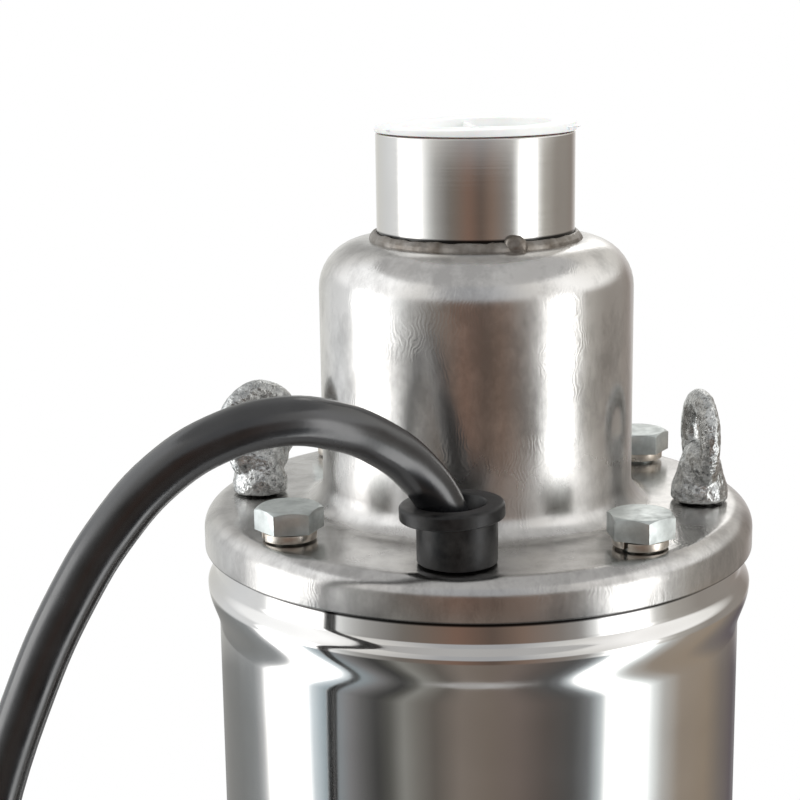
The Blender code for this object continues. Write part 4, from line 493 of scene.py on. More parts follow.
def changed(heights, below, above):
    """One glow up to a height, the other from a second height on."""
    share = by_height(wall_light, heights, 0, 1)
    return put(wall_light, "ShaderNodeMixShader", {0: share, 1: below, 2: above}).outputs["Shader"]


glow = changed(LOW_TO_LEVEL, wall_glow(WALLS_LOW), wall_glow(WALLS_LEVEL))
glow = changed(LEVEL_TO_HIGH, glow, wall_glow(WALLS_HIGH))
put(wall_light, "ShaderNodeOutputMaterial", {"Surface": glow})
walls.data.materials.append(wall_light)

# %% [markdown]
# The floor is pale and plain. Close to the pump it is an ordinary matt surface that takes its
# shadow, and further out it turns into pure white for the camera, so no horizon shows.

# %% Floor
bpy.ops.mesh.primitive_plane_add(size=12, location=(0, 0, -0.0002))
floor = bpy.context.object
floor.name = "studio_floor"
floor.visible_glossy = False
bpy.ops.object.transform_apply()
pale = finish("studio_floor", Roughness=0.9, Base_Color=(0.86, 0.86, 0.86, 1))
away = put(pale, "ShaderNodeVectorMath", {0: mapped(pale, (1, 1, 0))}, operation="LENGTH")
fade = put(
    pale, "ShaderNodeMapRange", {"Value": away.outputs["Value"]},
    interpolation_type="SMOOTHSTEP", From_Min=0.42, From_Max=0.72,
)
path = put(pale, "ShaderNodeLightPath")
seen = path.outputs["Is Camera Ray"]
for ray in ("Is Glossy Ray", "Is Transmission Ray"):
    seen = put(pale, "ShaderNodeMath", {0: seen, 1: path.outputs[ray]}, operation="MAXIMUM").outputs[0]
share = put(pale, "ShaderNodeMath", {0: seen, 1: fade.outputs["Result"]}, operation="MULTIPLY")
white = put(pale, "ShaderNodeEmission", Color=(1, 1, 1, 1), Strength=1.0)
nodes = pale.node_tree.nodes
matt = nodes["Principled BSDF"].outputs["BSDF"]
blend = put(pale, "ShaderNodeMixShader", {0: share.outputs[0], 1: matt, 2: white.outputs["Emission"]})
pale.node_tree.links.new(blend.outputs["Shader"], nodes["Material Output"].inputs["Surface"])
floor.data.materials.append(pale)

# %% World: white to the camera, a soft grey ceiling in the metal, an even sky for the rest
world = bpy.data.worlds.new("studio")
bpy.context.scene.world = world
world.use_nodes = True
sky = world.node_tree.nodes["Background"]
sky.inputs["Color"].default_value = (1, 1, 1, 1)
path = put(world, "ShaderNodeLightPath")
plain = put(world, "ShaderNodeMapRange", {"Value": path.outputs["Is Camera Ray"]}, To_Min=0.62)
world.node_tree.links.new(plain.outputs["Result"], sky.inputs["Strength"])


# %% Lamps, which stay out of the reflections
PUMP_MIDDLE = Vector((0, 0, 0.3))


def lamp(name, spot, size, power):
    light = bpy.data.lights.new(name, "AREA")
    light.size = size
    light.energy = power
    made = bpy.data.objects.new(name, light)
    made.location = spot
    made.rotation_mode = "QUATERNION"
    made.rotation_quaternion = (Vector(spot) - PUMP_MIDDLE).to_track_quat("Z", "Y")
    bpy.context.scene.collection.objects.link(made)
    made.visible_glossy = False


lamp("top_lamp", (0.2, 0.1, 1.9), 1.6, 13)
lamp("left_lamp", (-1.5, 0.1, 1.0), 1.2, 8)
lamp("right_lamp", (1.35, -0.6, 1.0), 1.0, 7)

# %% [markdown]
# ## Shaping tools
#
# Most of the pump is turned, pressed or rolled round one axis. Such a piece starts as a single
# point, which is extruded along half of its section and then spun about the axis, as one would
# do by hand. Corners of the section are drawn as arcs, because nothing real has a sharp edge.

# %% Section outlines and spinning
MERGE_GAP = 0.000002


def section(corners, steps=6):
    """An outline of radius and height. A third value rounds that corner with such a fillet."""
    points = []
    for index, corner in enumerate(corners):
        here = Vector(corner[:2])
        if len(corner) == 2:
            points.append(here)
            continue
        before = (Vector(corners[index - 1][:2]) - here).normalized()
        after = (Vector(corners[(index + 1) % len(corners)][:2]) - here).normalized()
        half = before.angle(after) / 2
        centre = here + (before + after).normalized() * corner[2] / math.sin(half)
        first = here + before * corner[2] / math.tan(half) - centre
        last = here + after * corner[2] / math.tan(half) - centre
        start = math.atan2(first.y, first.x)
        sweep = math.atan2(first.cross(last), first.dot(last))
        for step in range(steps + 1):
            angle = start + sweep * step / steps
            points.append(centre + corner[2] * Vector((math.cos(angle), math.sin(angle))))
    return points


def start_with(kind, **how):
    """Deselects all and adds a primitive, which is the piece to shape."""
    if bpy.context.object and bpy.context.object.mode != "OBJECT":
        bpy.ops.object.mode_set(mode="OBJECT")
    bpy.ops.object.select_all(action="DESELECT")
    getattr(bpy.ops.mesh, f"primitive_{kind}_add")(**how)
    return bpy.context.object


def select_only(piece, *others):
    bpy.ops.object.select_all(action="DESELECT")
    for each in (piece, *others):
        each.select_set(True)
    bpy.context.view_layer.objects.active = piece


def modifier(piece, kind, **values):
    made = piece.modifiers.new(kind.title(), kind)
    for key, value in values.items():
        setattr(made, key, value)


def apply_modifiers(piece):
    select_only(piece)
    for each in list(piece.modifiers):
        bpy.ops.object.modifier_apply(modifier=each.name)
    return piece


def done(piece, name, material, slot, *stands_for, body="pump_housing", smooth=35):
    """Applies the place, smooths, names, paints and fastens a finished piece."""
    select_only(piece)
    bpy.ops.object.transform_apply()
    bpy.ops.object.shade_smooth_by_angle(angle=math.radians(smooth))
    piece.name = piece.data.name = name
    piece.data.materials.clear()
    piece.data.materials.append(material)
    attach(piece, body)
    if stands_for:
        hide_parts(*stands_for)
    print(name, len(piece.data.polygons), "faces")
    return piece


def drawn(points, side=0, closed=True):
    """Draws an outline of radius and height by extruding one vertex from point to point."""
    piece = start_with("plane", size=0.001)
    bpy.ops.object.mode_set(mode="EDIT")
    bpy.ops.mesh.merge(type="CENTER")
    bpy.ops.transform.translate(value=(points[0][0], side, points[0][1]))
    walk = list(points[1:]) + ([points[0]] if closed else [])
    for before, after in zip(points, walk):
        move = (after[0] - before[0], 0, after[1] - before[1])
        bpy.ops.mesh.extrude_vertices_move(TRANSFORM_OT_translate={"value": move})
    bpy.ops.mesh.select_all(action="SELECT")
    return piece


def spun(points, steps=180, closed=True):
    """Draws an outline and spins it about the axis."""
    piece = drawn(points, closed=closed)
    bpy.ops.mesh.spin(steps=steps, angle=2 * math.pi, center=(0, 0, 0), axis=(0, 0, 1))
    bpy.ops.mesh.select_all(action="SELECT")
    bpy.ops.mesh.remove_doubles(threshold=MERGE_GAP)
    bpy.ops.mesh.normals_make_consistent(inside=False)
    bpy.ops.object.mode_set(mode="OBJECT")
    return piece


def combine(piece, others):
    select_only(piece, *others)
    bpy.ops.object.join()
    return piece


def copy_of(piece):
    made = piece.copy()
    made.data = piece.data.copy()
    bpy.context.scene.collection.objects.link(made)
    return made


# %% [markdown]
# ## Cover, socket and cap
#
# The cover is pressed from one sheet with its bell, so it is one spun piece: skirt, rounded edge,
# flat top, a tight fillet up into the bell, and the bell's wide round shoulder.

# %% Cover with bell
COVER_EDGE, COVER_RADIUS, COVER_PLATE = 0.400, 0.0680, 0.005
BELL_RADIUS, BELL_TOP, BELL_SHOULDER, BELL_WALL = 0.0383, 0.475, 0.0115, 0.0022
COVER_ROUND, BELL_FILLET, SKIRT_WALL = 0.0052, 0.0062, 0.0021
SOCKET_RADIUS, SOCKET_BORE, SOCKET_TOP = 0.0240, 0.0202, 0.5006

cover_section = section(
    [
        (SOCKET_BORE, BELL_TOP - 0.0002),
        (BELL_RADIUS, BELL_TOP, BELL_SHOULDER),
        (BELL_RADIUS, COVER_TOP, BELL_FILLET),
        (COVER_RADIUS, COVER_TOP, COVER_ROUND),
        (COVER_RADIUS, COVER_EDGE, 0.0003),
        (COVER_RADIUS - SKIRT_WALL, COVER_EDGE),
        (COVER_RADIUS - SKIRT_WALL, COVER_TOP - COVER_PLATE),
        (BELL_RADIUS - BELL_WALL, COVER_TOP - COVER_PLATE),
        (BELL_RADIUS - BELL_WALL, BELL_TOP - BELL_WALL, BELL_SHOULDER - BELL_WALL),
        (SOCKET_BORE, BELL_TOP - BELL_WALL),
    ],
    10,
)
done(spun(cover_section), "cover_with_bell", hand_steel, "satin_steel", "top_cover")

# %% [markdown]
# The weld at the socket's foot was run by hand. A spun ring gives its line, clouds of noise push
# it about a little, and one lump stands where the bead was closed.

# %% Weld bead
WELD = ((0.0236, 0.4736), (0.0262, 0.4738, 0.0008), (0.0256, 0.4757, 0.0008), (0.0239, 0.4778, 0.0006))
LUMP_RADIUS, LUMP_PLACE = 0.0023, (0.0108, -0.0222, 0.4757)

bead = spun(section(WELD, 3), 240)
lump = start_with("uv_sphere", segments=32, ring_count=20, radius=LUMP_RADIUS, location=LUMP_PLACE)
lump.scale = (1.25, 0.8, 1.25)
combine(bead, [lump])
uneven = bpy.data.textures.new("weld_waves", "CLOUDS")
uneven.noise_scale = 0.0032
modifier(bead, "DISPLACE", texture=uneven, texture_coords="LOCAL", strength=0.0008, mid_level=0.5)
done(apply_modifiers(bead), "weld_bead", weld_steel, "satin_steel", smooth=60)

# %% [markdown]
# The socket is a turned ring with small chamfers. Its fine rings are in the finish.

# %% Outlet socket
SOCKET_BOTTOM = BELL_TOP + 0.0003
socket_section = section(
    [
        (SOCKET_BORE, SOCKET_TOP, 0.0006),
        (SOCKET_RADIUS, SOCKET_TOP, 0.0004),
        (SOCKET_RADIUS, SOCKET_BOTTOM),
        (SOCKET_BORE, SOCKET_BOTTOM),
    ],
    3,
)
done(spun(socket_section, 200), "turned_outlet_socket", lathe_steel, "turned_steel", "outlet_socket")

# %% [markdown]
# The transport cap is a shallow moulded dish with a flange and a cross of ribs in it. The flange's
# top isn't level, its right side is higher, and the moulding flash was never trimmed, so burrs
# stand on the rim.

# %% Dish of the transport cap
CAP_BOTTOM = SOCKET_TOP + 0.0003
CAP_RADIUS, CAP_TOP = 0.0243, CAP_BOTTOM + 0.0017
DISH_FLOOR, DISH_UNDERSIDE = CAP_BOTTOM - 0.0040, CAP_BOTTOM - 0.0110
CAP_SLOPE = math.radians(1.35)
cap_section = section(
    [
        (0, DISH_FLOOR),
        (0.0178, DISH_FLOOR, 0.0008),
        (0.0182, CAP_TOP, 0.0003),
        (CAP_RADIUS, CAP_TOP, 0.0004),
        (CAP_RADIUS, CAP_BOTTOM, 0.0002),
        (0.0197, CAP_BOTTOM),
        (0.0195, DISH_UNDERSIDE, 0.0008),
        (0, DISH_UNDERSIDE),
    ],
    3,
)
cap = spun(cap_section, 160, closed=False)

# %% Slope of the flange's top
bpy.ops.object.mode_set(mode="EDIT")
form = bmesh.from_edit_mesh(cap.data)
for vertex in form.verts:
    vertex.select_set(vertex.co.z > (CAP_BOTTOM + CAP_TOP) / 2)
form.select_flush_mode()
bmesh.update_edit_mesh(cap.data)
bpy.ops.transform.rotate(value=CAP_SLOPE, orient_axis="Y", center_override=(0, 0, CAP_TOP))
bpy.ops.object.mode_set(mode="OBJECT")
for side in (-1, 1):
    edge = [vertex.co.z for vertex in cap.data.vertices if vertex.co.x * side > SOCKET_RADIUS]
    print("left" if side < 0 else "right", "side of the flange is up to", round(max(edge), 4))

# %% Ribs and burrs
RIB, BURR = (0.0364, 0.0016, 0.0050), 0.0005
extras = []
for degrees in (12, 102):
    turn = (0, 0, math.radians(degrees))
    rib = start_with("cube", size=1, location=(0, 0, CAP_BOTTOM - 0.0018), rotation=turn)
    rib.scale = RIB
    bpy.ops.object.transform_apply()
    modifier(rib, "BEVEL", width=0.0004, segments=2)
    extras.append(apply_modifiers(rib))
for degrees, reach in ((-12, 0.0016), (-21, 0.0009), (-142, 0.0007)):
    angle = math.radians(degrees)
    spot = on_circle(CAP_RADIUS, angle, CAP_BOTTOM + 0.0011)
    burr = start_with("ico_sphere", subdivisions=3, radius=BURR, location=spot)
    burr.scale = (reach / BURR, 1.0, 0.7)
    burr.rotation_euler.z = angle + 0.5
    bpy.ops.object.transform_apply()
    extras.append(burr)
done(
    combine(cap, extras), "white_transport_cap", white_plastic, "white_plastic", "outlet_cap", body="cap"
)

# %% [markdown]
# ## Bolts and washers
#
# A bolt head is a hexagon whose upper corners are cut by a cone, so each side ends in a curved
# chamfer. One is modelled and copied, and each copy is turned as it was when it was tightened.

# %% Hexagon bolts
FLATS, HEAD_HEIGHT, HEAD_Z, BOLT_CIRCLE = 0.0140, 0.0053, 0.4127, 0.0570
SHANK = ((0, 0.002), (0.00385, 0.002), (0.00385, -0.0200), (0, -0.0200))
CORNER_CUT, CORNER_CUT_HEIGHT = 0.0139, 0.0080
hex_radius = FLATS / math.sqrt(3)
middle = (0, 0, HEAD_HEIGHT / 2)
model = start_with("cylinder", vertices=6, radius=hex_radius, depth=HEAD_HEIGHT, location=middle)
bpy.ops.object.transform_apply()
cone = start_with(
    "cone", vertices=96, radius1=hex_radius + CORNER_CUT, radius2=FLATS / 2 * 0.985,
    depth=CORNER_CUT_HEIGHT, location=(0, 0, HEAD_HEIGHT - CORNER_CUT_HEIGHT / 2),
)
modifier(model, "BOOLEAN", operation="INTERSECT", solver="EXACT", object=cone)
modifier(model, "BEVEL", width=0.00022, segments=2, limit_method="ANGLE", angle_limit=math.radians(20))
apply_modifiers(model)
bpy.data.objects.remove(cone)
rounded = section([*SHANK[:2], (*SHANK[2], 0.0006), SHANK[3]], 2)
model = combine(model, [spun(rounded, 48, closed=False)])

# %% Four bolts: azimuth, and the turn that each was tightened to
# Blender's six sided cylinder has a corner on the Y axis, so 30 degrees put a face there.
BOLTS = ((315, -17), (45, 5), (135, 20), (225, 14))
FACE_FIRST = 30
for number, (azimuth, turn) in enumerate(BOLTS, 1):
    bolt = copy_of(model)
    bolt.location = on_circle(BOLT_CIRCLE, math.radians(azimuth), HEAD_Z)
    bolt.rotation_euler.z = math.radians(turn + FACE_FIRST)
    done(bolt, f"hexagon_bolt_{number}", zinc, "zinc_plate", f"cover_bolt_{number}", smooth=25)
bpy.data.objects.remove(model)

# %% [markdown]
# A spring washer is one turn of square wire with its ends set apart. A closed square section is
# carried round by a Screw modifier that also lifts it a little, and both ends are closed.

# %% Spring washer
WASHER_RADIUS, WIRE_WIDTH, WIRE_HEIGHT = 0.0053, 0.0022, 0.0019
wire = start_with("plane", size=1, location=(WASHER_RADIUS, 0, 0.0010), rotation=(math.radians(90), 0, 0))
wire.scale = (WIRE_WIDTH, WIRE_HEIGHT, 1)
bpy.ops.object.transform_apply()
bpy.ops.object.mode_set(mode="EDIT")
bpy.ops.mesh.delete(type="ONLY_FACE")
bpy.ops.object.mode_set(mode="OBJECT")
modifier(wire, "SCREW", axis="Z", angle=math.radians(352), steps=72, render_steps=72, screw_offset=0.00035)
apply_modifiers(wire)
bpy.ops.object.mode_set(mode="EDIT")
bpy.ops.mesh.select_all(action="DESELECT")
bpy.ops.mesh.select_mode(type="EDGE")
bpy.ops.mesh.select_non_manifold()
bpy.ops.mesh.edge_face_add()
bpy.ops.mesh.select_mode(type="VERT")
bpy.ops.mesh.select_all(action="SELECT")
bpy.ops.mesh.normals_make_consistent(inside=False)
bpy.ops.object.mode_set(mode="OBJECT")
modifier(wire, "BEVEL", width=0.00018, segments=2, limit_method="ANGLE", angle_limit=math.radians(50))
apply_modifiers(wire)

# %% Four washers, each with its gap somewhere else
WASHERS = ((315, -118), (45, 30), (135, 160), (225, 215))
for number, (azimuth, turn) in enumerate(WASHERS, 1):
    washer = copy_of(wire)
    washer.location = on_circle(BOLT_CIRCLE, math.radians(azimuth), COVER_TOP + 0.0003)
    washer.rotation_euler.z = math.radians(turn)
    done(washer, f"split_washer_{number}", spring, "spring_steel", f"spring_washer_{number}", smooth=30)
bpy.data.objects.remove(wire)

# %% [markdown]
# ## Eye bolts
#
# The eyes are cast: a flared round foot grows into a flat blade with a ring, and no line is
# quite straight. A torus, an oval stem and the foot are melted together by a voxel remesh,
# smoothed, and roughened by a little noise, as the thick zinc coat does.

# %% Eye bolts
EYE_RADIUS, EYE_WIRE, EYE_CIRCLE, EYE_STEM = 0.0084, 0.0031, 0.0550, (0.0082, 0.0042, 0.0058)
EYE_FOOT = (
    (0, 0), (0.0070, 0, 0.0004), (0.0068, 0.0034, 0.001), (0.0058, 0.0064), (0.0050, 0.0098), (0, 0.0108),
)


def eye_bolt(name, side, turn, rise, node):
    """One casting: the side it stands on, its turn, and how high its ring's middle is."""
    ring = start_with(
        "torus", major_radius=EYE_RADIUS, minor_radius=EYE_WIRE, major_segments=64, minor_segments=24,
        location=(0, 0, rise), rotation=(math.radians(90), 0, 0),
    )
    ring.scale = (1, 1, 0.80)
    bpy.ops.object.transform_apply()
    foot = spun(section(EYE_FOOT, 3), 64, closed=False)
    stem = start_with("uv_sphere", segments=32, ring_count=24, radius=1, location=(0, 0, 0.0086))
    stem.scale = EYE_STEM
    bpy.ops.object.transform_apply()
    eye = combine(ring, [foot, stem, spun(SHANK, 40, closed=False)])
    modifier(eye, "REMESH", mode="VOXEL", voxel_size=0.00035, adaptivity=0)
    modifier(eye, "SMOOTH", factor=0.6, iterations=10)
    lumps = bpy.data.textures.new(name + "_lumps", "CLOUDS")
    lumps.noise_scale = 0.0024
    lumps.noise_depth = 2
    modifier(eye, "DISPLACE", texture=lumps, texture_coords="LOCAL", strength=0.00045, mid_level=0.5)
    apply_modifiers(eye)
    eye.location = (side * EYE_CIRCLE, 0, COVER_TOP + 0.0004)
    eye.rotation_euler.z = math.radians(turn)
    done(eye, name, dipped, "galvanised_casting", node, smooth=60)


eye_bolt("lifting_eye_left", -1, 39, 0.0170, "eye_bolt_left")
eye_bolt("lifting_eye_right", 1, -76, 0.0160, "eye_bolt_right")

# %% [markdown]
# ## Grommet
#
# The rubber bush has a sleeve that stands on the cover and a thick flange on top. The stiff cable
# drags the flange to the left, and its edge hangs lower there. So sleeve and flange are spun
# apart, and the flange is moved and tilted before both are joined.

# %% Cable grommet
SLEEVE_BOTTOM, SLEEVE_SEAT, SLEEVE_TOP = COVER_TOP - 0.0150, COVER_TOP + 0.0004, COVER_TOP + 0.0122
HOLE_RADIUS, FLANGE_EDGE, FLANGE_HALF = 0.0066, 0.01175, 0.0017
sleeve_section = section(
    [
        (CABLE_RADIUS + 0.0004, SLEEVE_BOTTOM),
        (HOLE_RADIUS, SLEEVE_BOTTOM, 0.0004),
        (HOLE_RADIUS, SLEEVE_SEAT),
        (0.0090, SLEEVE_SEAT, 0.0005),
        (0.0091, SLEEVE_TOP),
        (CABLE_RADIUS + 0.0016, SLEEVE_TOP),
        (CABLE_RADIUS + 0.0004, COVER_TOP + 0.0030),
    ],
    3,
)
flange_section = section(
    [
        (0.0078, FLANGE_HALF, 0.0006),
        (FLANGE_EDGE, FLANGE_HALF, 0.0008),
        (FLANGE_EDGE, -FLANGE_HALF, 0.0005),
        (HOLE_RADIUS, -FLANGE_HALF),
    ],
    4,
)
sleeve = spun(sleeve_section, 120)
flange = spun(flange_section, 140)
flange.location = (-0.0011, 0, COVER_TOP + 0.0121)
flange.rotation_euler = (0, math.radians(-2.4), 0)
bpy.ops.object.transform_apply()
grommet = combine(sleeve, [flange])
grommet.location.y = GROMMET_Y
done(grommet, "rubber_grommet", bush_rubber, "grommet_rubber", "cable_grommet", smooth=40)

# %% [markdown]
# ## Casing, strainer and foot
#
# The casing is a rolled tube. Below the cover it swells into a collar and a round bead, which
# stiffens its edge. The bead is two half waves, so its light bands run smoothly into the tube.

# %% Outer casing
CASING_RADIUS, COLLAR_RADIUS, BEAD_RADIUS, WALL = 0.0650, 0.0654, 0.0676, 0.0012
BEAD_Z, CASING_TOP, CASING_BOTTOM = 0.3909, 0.4033, 0.0868
BEAD_ABOVE, BEAD_BELOW = 0.0042, 0.0110


def bead_line(inward):
    """The bead from collar to tube, on the outer face or a wall's thickness further in."""
    points = []
    for share in (step / 10 for step in range(11)):
        swell = (BEAD_RADIUS - COLLAR_RADIUS) * (1 - math.cos(math.pi * share)) / 2
        points.append((COLLAR_RADIUS + swell - inward, BEAD_Z + BEAD_ABOVE * (1 - share)))
    for share in (step / 14 for step in range(1, 15)):
        swell = (BEAD_RADIUS - CASING_RADIUS) * (1 + math.cos(math.pi * share)) / 2
        points.append((CASING_RADIUS + swell - inward, BEAD_Z - BEAD_BELOW * share))
    return points


casing_section = [
    (COLLAR_RADIUS, CASING_TOP),
    *bead_line(0),
    (CASING_RADIUS, CASING_BOTTOM + 0.0012),
    (CASING_RADIUS - 0.0006, CASING_BOTTOM + 0.0002),
    (CASING_RADIUS - 0.0012, CASING_BOTTOM),
    (CASING_RADIUS - 0.0028, CASING_BOTTOM),
    (CASING_RADIUS - 0.0028, CASING_BOTTOM + WALL),
    (CASING_RADIUS - WALL, CASING_BOTTOM + WALL),
    *reversed(bead_line(WALL)),
    (COLLAR_RADIUS - WALL, CASING_TOP),
]
done(spun(casing_section, 200), "rolled_casing", mirror_steel, "polished_steel", "outer_casing")

# %% [markdown]
# Water is drawn in through a slotted sleeve at the foot. The sleeve is a spun wall, and twenty
# round ended cutters, joined into one, cut all of its slots at once.

# %% Strainer
STRAINER_RADIUS, STRAINER_BORE, STRAINER_TOP, STRAINER_BOTTOM = 0.0628, 0.0618, 0.0865, 0.0120
SLOTS, SLOT_SIZE, SLOT_Z, SLOT_ROUND = 20, (0.006, 0.0043, 0.0565), 0.04925, 0.00212
strainer = spun(
    [
        (STRAINER_RADIUS, STRAINER_TOP),
        (STRAINER_RADIUS, STRAINER_BOTTOM),
        (STRAINER_BORE, STRAINER_BOTTOM),
        (STRAINER_BORE, STRAINER_TOP),
    ],
    240,
)
tools = []
for number in range(SLOTS):
    angle = 2 * math.pi * (number + 0.11) / SLOTS
    spot = on_circle(STRAINER_RADIUS, angle, SLOT_Z)
    tool = start_with("cube", size=1, location=spot, rotation=(0, 0, angle))
    tool.scale = SLOT_SIZE
    bpy.ops.object.transform_apply()
    bpy.ops.object.mode_set(mode="EDIT")
    form = bmesh.from_edit_mesh(tool.data)
    outward = Vector(on_circle(1, angle))
    for edge in form.edges:
        along = (edge.verts[0].co - edge.verts[1].co).normalized()
        edge.select_set(abs(along.dot(outward)) > 0.9)
    bmesh.update_edit_mesh(tool.data)
    bpy.ops.mesh.bevel(offset=SLOT_ROUND, segments=6, affect="EDGES")
    bpy.ops.object.mode_set(mode="OBJECT")
    tools.append(tool)
tool = combine(tools[0], tools[1:])
modifier(strainer, "BOOLEAN", operation="DIFFERENCE", solver="EXACT", object=tool)
apply_modifiers(strainer)
bpy.data.objects.remove(tool)
done(strainer, "slotted_strainer", hand_steel, "satin_steel", "strainer")

# %% [markdown]
# The foot is pressed like an upturned dish: a plate that carries the strainer, a wall down to
# the floor, and a flat flange turned in below.

# %% Foot
FOOT_RADIUS, FLANGE_RADIUS, FOOT_BORE, FOOT_TOP, FOOT_PLATE = 0.0650, 0.0590, 0.0635, 0.0117, 0.0087
foot_section = section(
    [
        (0, FOOT_TOP),
        (FOOT_RADIUS, FOOT_TOP, 0.0012),
        (FOOT_RADIUS, 0.0, 0.0007),
        (FLANGE_RADIUS, 0.0),
        (FLANGE_RADIUS, 0.0020),
        (FOOT_BORE, 0.0020),
        (FOOT_BORE, FOOT_PLATE),
        (0, FOOT_PLATE),
    ],
    4,
)
foot = spun(foot_section, 200, closed=False)
done(foot, "pressed_foot", hand_steel, "satin_steel", "base_foot")

# %% [markdown]
# ## Plug and ties
#
# The plug is moulded onto the cable's end: a ribbed grip that widens into a round body with two
# plated pins. It is spun upright and laid down along the cable. Three fabric ties hold the coil.

# %% Plug
PLUG_END = -0.0655
PLUG_HEAD = (
    (0.0098, -0.0208), (0.0112, -0.0230), (0.0186, -0.0300, 0.004), (0.0190, PLUG_END, 0.0015),
    (0, PLUG_END),
)
profile = [(0, 0), (0.0065, 0), (0.0068, -0.004)]
for rib in range(5):
    low = -0.0055 - rib * 0.0030
    swell = 0.0068 + rib * 0.0007
    profile += [(swell, low), (swell + 0.0011, low - 0.0006)]
    profile += [(swell + 0.0011, low - 0.0016), (swell, low - 0.0022)]
profile += section(PLUG_HEAD, 5)
plug_way = ahead * math.cos(PLUG_TILT) + Vector((0, 0, math.sin(PLUG_TILT)))
lay = Matrix.Translation(plug_back) @ (-plug_way).to_track_quat("Z", "X").to_matrix().to_4x4()
plug = spun(profile, 96, closed=False)
plug.matrix_world = lay
done(plug, "moulded_plug", plug_rubber, "plug_rubber", "plug_body")

# %% Pins
PIN = ((0, -0.0600), (0.0024, -0.0600), (0.0024, -0.0850, 0.0012), (0, -0.0850))
for name, side in (("left", -1), ("right", 1)):
    pin = spun(section(PIN, 4), 40, closed=False)
    pin.matrix_world = lay @ Matrix.Translation((0, side * 0.0095, 0))
    done(pin, f"contact_pin_{name}", plated_brass, "nickel_brass", f"plug_pin_{name}")

# %% Ties round the coil
TIE_WIDTH = 0.0090
TIE_LOOP = (
    (0.0358, 0.0006, 0.004), (0.0786, 0.0006, 0.004), (0.0786, 0.0732, 0.004), (0.0670, 0.0732, 0.004),
    (0.0570, 0.0630, 0.002), (0.0358, 0.0630, 0.004),
)
for number, degrees in enumerate((20, 140, 260), 1):
    tie = drawn(section(TIE_LOOP), -TIE_WIDTH / 2)
    bpy.ops.mesh.remove_doubles(threshold=MERGE_GAP)
    bpy.ops.mesh.select_all(action="SELECT")
    bpy.ops.mesh.extrude_edges_move(TRANSFORM_OT_translate={"value": (0, TIE_WIDTH, 0)})
    bpy.ops.mesh.select_all(action="SELECT")
    bpy.ops.mesh.normals_make_consistent(inside=False)
    bpy.ops.object.mode_set(mode="OBJECT")
    modifier(tie, "SOLIDIFY", thickness=0.0009, offset=0)
    modifier(tie, "BEVEL", width=0.0002, segments=2, limit_method="ANGLE", angle_limit=math.radians(50))
    apply_modifiers(tie)
    tie.location = (COIL_X, COIL_Y, 0)
    tie.rotation_euler.z = math.radians(degrees)
    done(tie, f"coil_tie_{number}", tie_fabric, "cable_rubber")

# %% The cable's finish and its place in the model
cable_curve.materials.append(jacket)
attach(cable, "pump_housing")
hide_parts("supply_cable", "cable_coil", "cable_tail")

# %% [markdown]
# ## Inside the casing
#
# The solids inside are good as they are and keep their meshes. Each gets the finish of its kind:
# sand cast aluminium and iron, pressed laminations, varnished copper, ground bearing rings, the
# ceramic and carbon faces of the shaft seal, and the moulded plastic of the pumping stages.

# %% Finishes of the inner pieces
def grained(name, dark, light, rough, metallic, scale, depth, stretch=(1, 1, 1)):
    """A finish whose colour, roughness and bump all follow one noise."""
    made = finish(name, Metallic=metallic, Roughness=sum(rough) / 2)
    source = noise(made, stretch, scale=scale, detail=4, rough=0.6)
    feed(made, "Base Color", tinted(made, source, dark, light))
    feed(made, "Roughness", ranged(made, source, *rough))
    bump(made, (source, depth))
    return made


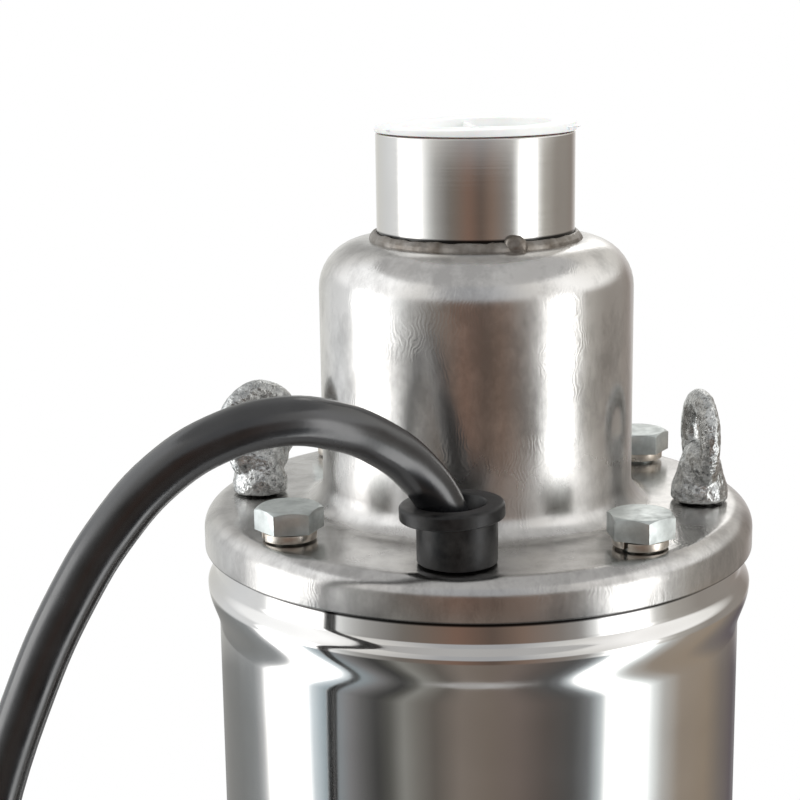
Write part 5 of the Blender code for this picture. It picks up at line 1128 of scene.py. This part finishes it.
cast_aluminium = grained(
    "sand_cast_aluminium", (0.48, 0.49, 0.50), (0.68, 0.69, 0.70), (0.42, 0.60), 1, 320, 0.00012
)
cast_iron = grained("sand_cast_iron", (0.10, 0.10, 0.105), (0.22, 0.22, 0.225), (0.50, 0.72), 1, 300, 0.00016)
laminated = grained(
    "pressed_laminations", (0.24, 0.24, 0.25), (0.46, 0.46, 0.47), (0.34, 0.52), 1, 1400, 0.00005,
    (0.05, 0.05, 1),
)
copper = grained(
    "varnished_copper", (0.42, 0.13, 0.05), (0.72, 0.32, 0.16), (0.24, 0.44), 1, 900, 0.0001, (1, 1, 0.2)
)
ground_steel = grained(
    "ground_bearing_steel", (0.55, 0.56, 0.57), (0.70, 0.71, 0.72), (0.14, 0.26), 1, 1600, 0.000008,
    (0.05, 0.05, 1),
)
ceramic = grained("seal_face_ceramic", (0.72, 0.70, 0.64), (0.84, 0.82, 0.77), (0.18, 0.30), 0, 500, 0.00001)
carbon = grained("seal_face_carbon", (0.02, 0.02, 0.022), (0.05, 0.05, 0.052), (0.30, 0.46), 0, 700, 0.00002)
stage_plastic = grained(
    "moulded_stage_plastic", (0.045, 0.05, 0.055), (0.085, 0.09, 0.095), (0.34, 0.50), 0, 260, 0.00004
)
can = grained(
    "capacitor_can", (0.58, 0.59, 0.60), (0.72, 0.73, 0.74), (0.28, 0.42), 1, 600, 0.00003, (1, 0.1, 1)
)
seal_rubber = grained(
    "gasket_rubber", (0.012, 0.012, 0.013), (0.03, 0.03, 0.031), (0.48, 0.66), 0, 800, 0.00004
)
drawn_steel = grained(
    "drawn_shell_steel", (0.50, 0.495, 0.485), (0.64, 0.63, 0.615), (0.24, 0.38), 1, 1100, 0.00001,
    (1, 1, 0.03),
)

# %% Solids that get them
INNER = {
    cast_aluminium: ["top_bracket", "upper_bearing_plate", "lower_bracket", "rotor_core"],
    cast_iron: ["oil_chamber"],
    laminated: ["stator_core"],
    copper: ["stator_winding"],
    ground_steel: [
        "shaft", "upper_bearing_outer", "upper_bearing_inner", "lower_bearing_outer", "lower_bearing_inner",
    ],
    ceramic: ["seal_seat_upper", "seal_seat_lower"],
    carbon: ["seal_head_upper", "seal_head_lower"],
    stage_plastic: [f"{kind}_{n}" for kind in ("impeller", "stage_bowl", "diffuser") for n in (1, 2, 3)],
    can: ["capacitor"],
    seal_rubber: ["casing_gasket"],
    drawn_steel: ["motor_shell", "suction_plate"],
    spring: ["wave_spring"],
    zinc: ["oil_screw", "impeller_nut"] + [f"tie_bolt_{n}" for n in (1, 2, 3, 4)],
}
for material, names in INNER.items():
    for name in names:
        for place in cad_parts[name].material_slots:
            place.material = material
print("inner pieces finished:", sum(len(names) for names in INNER.values()))
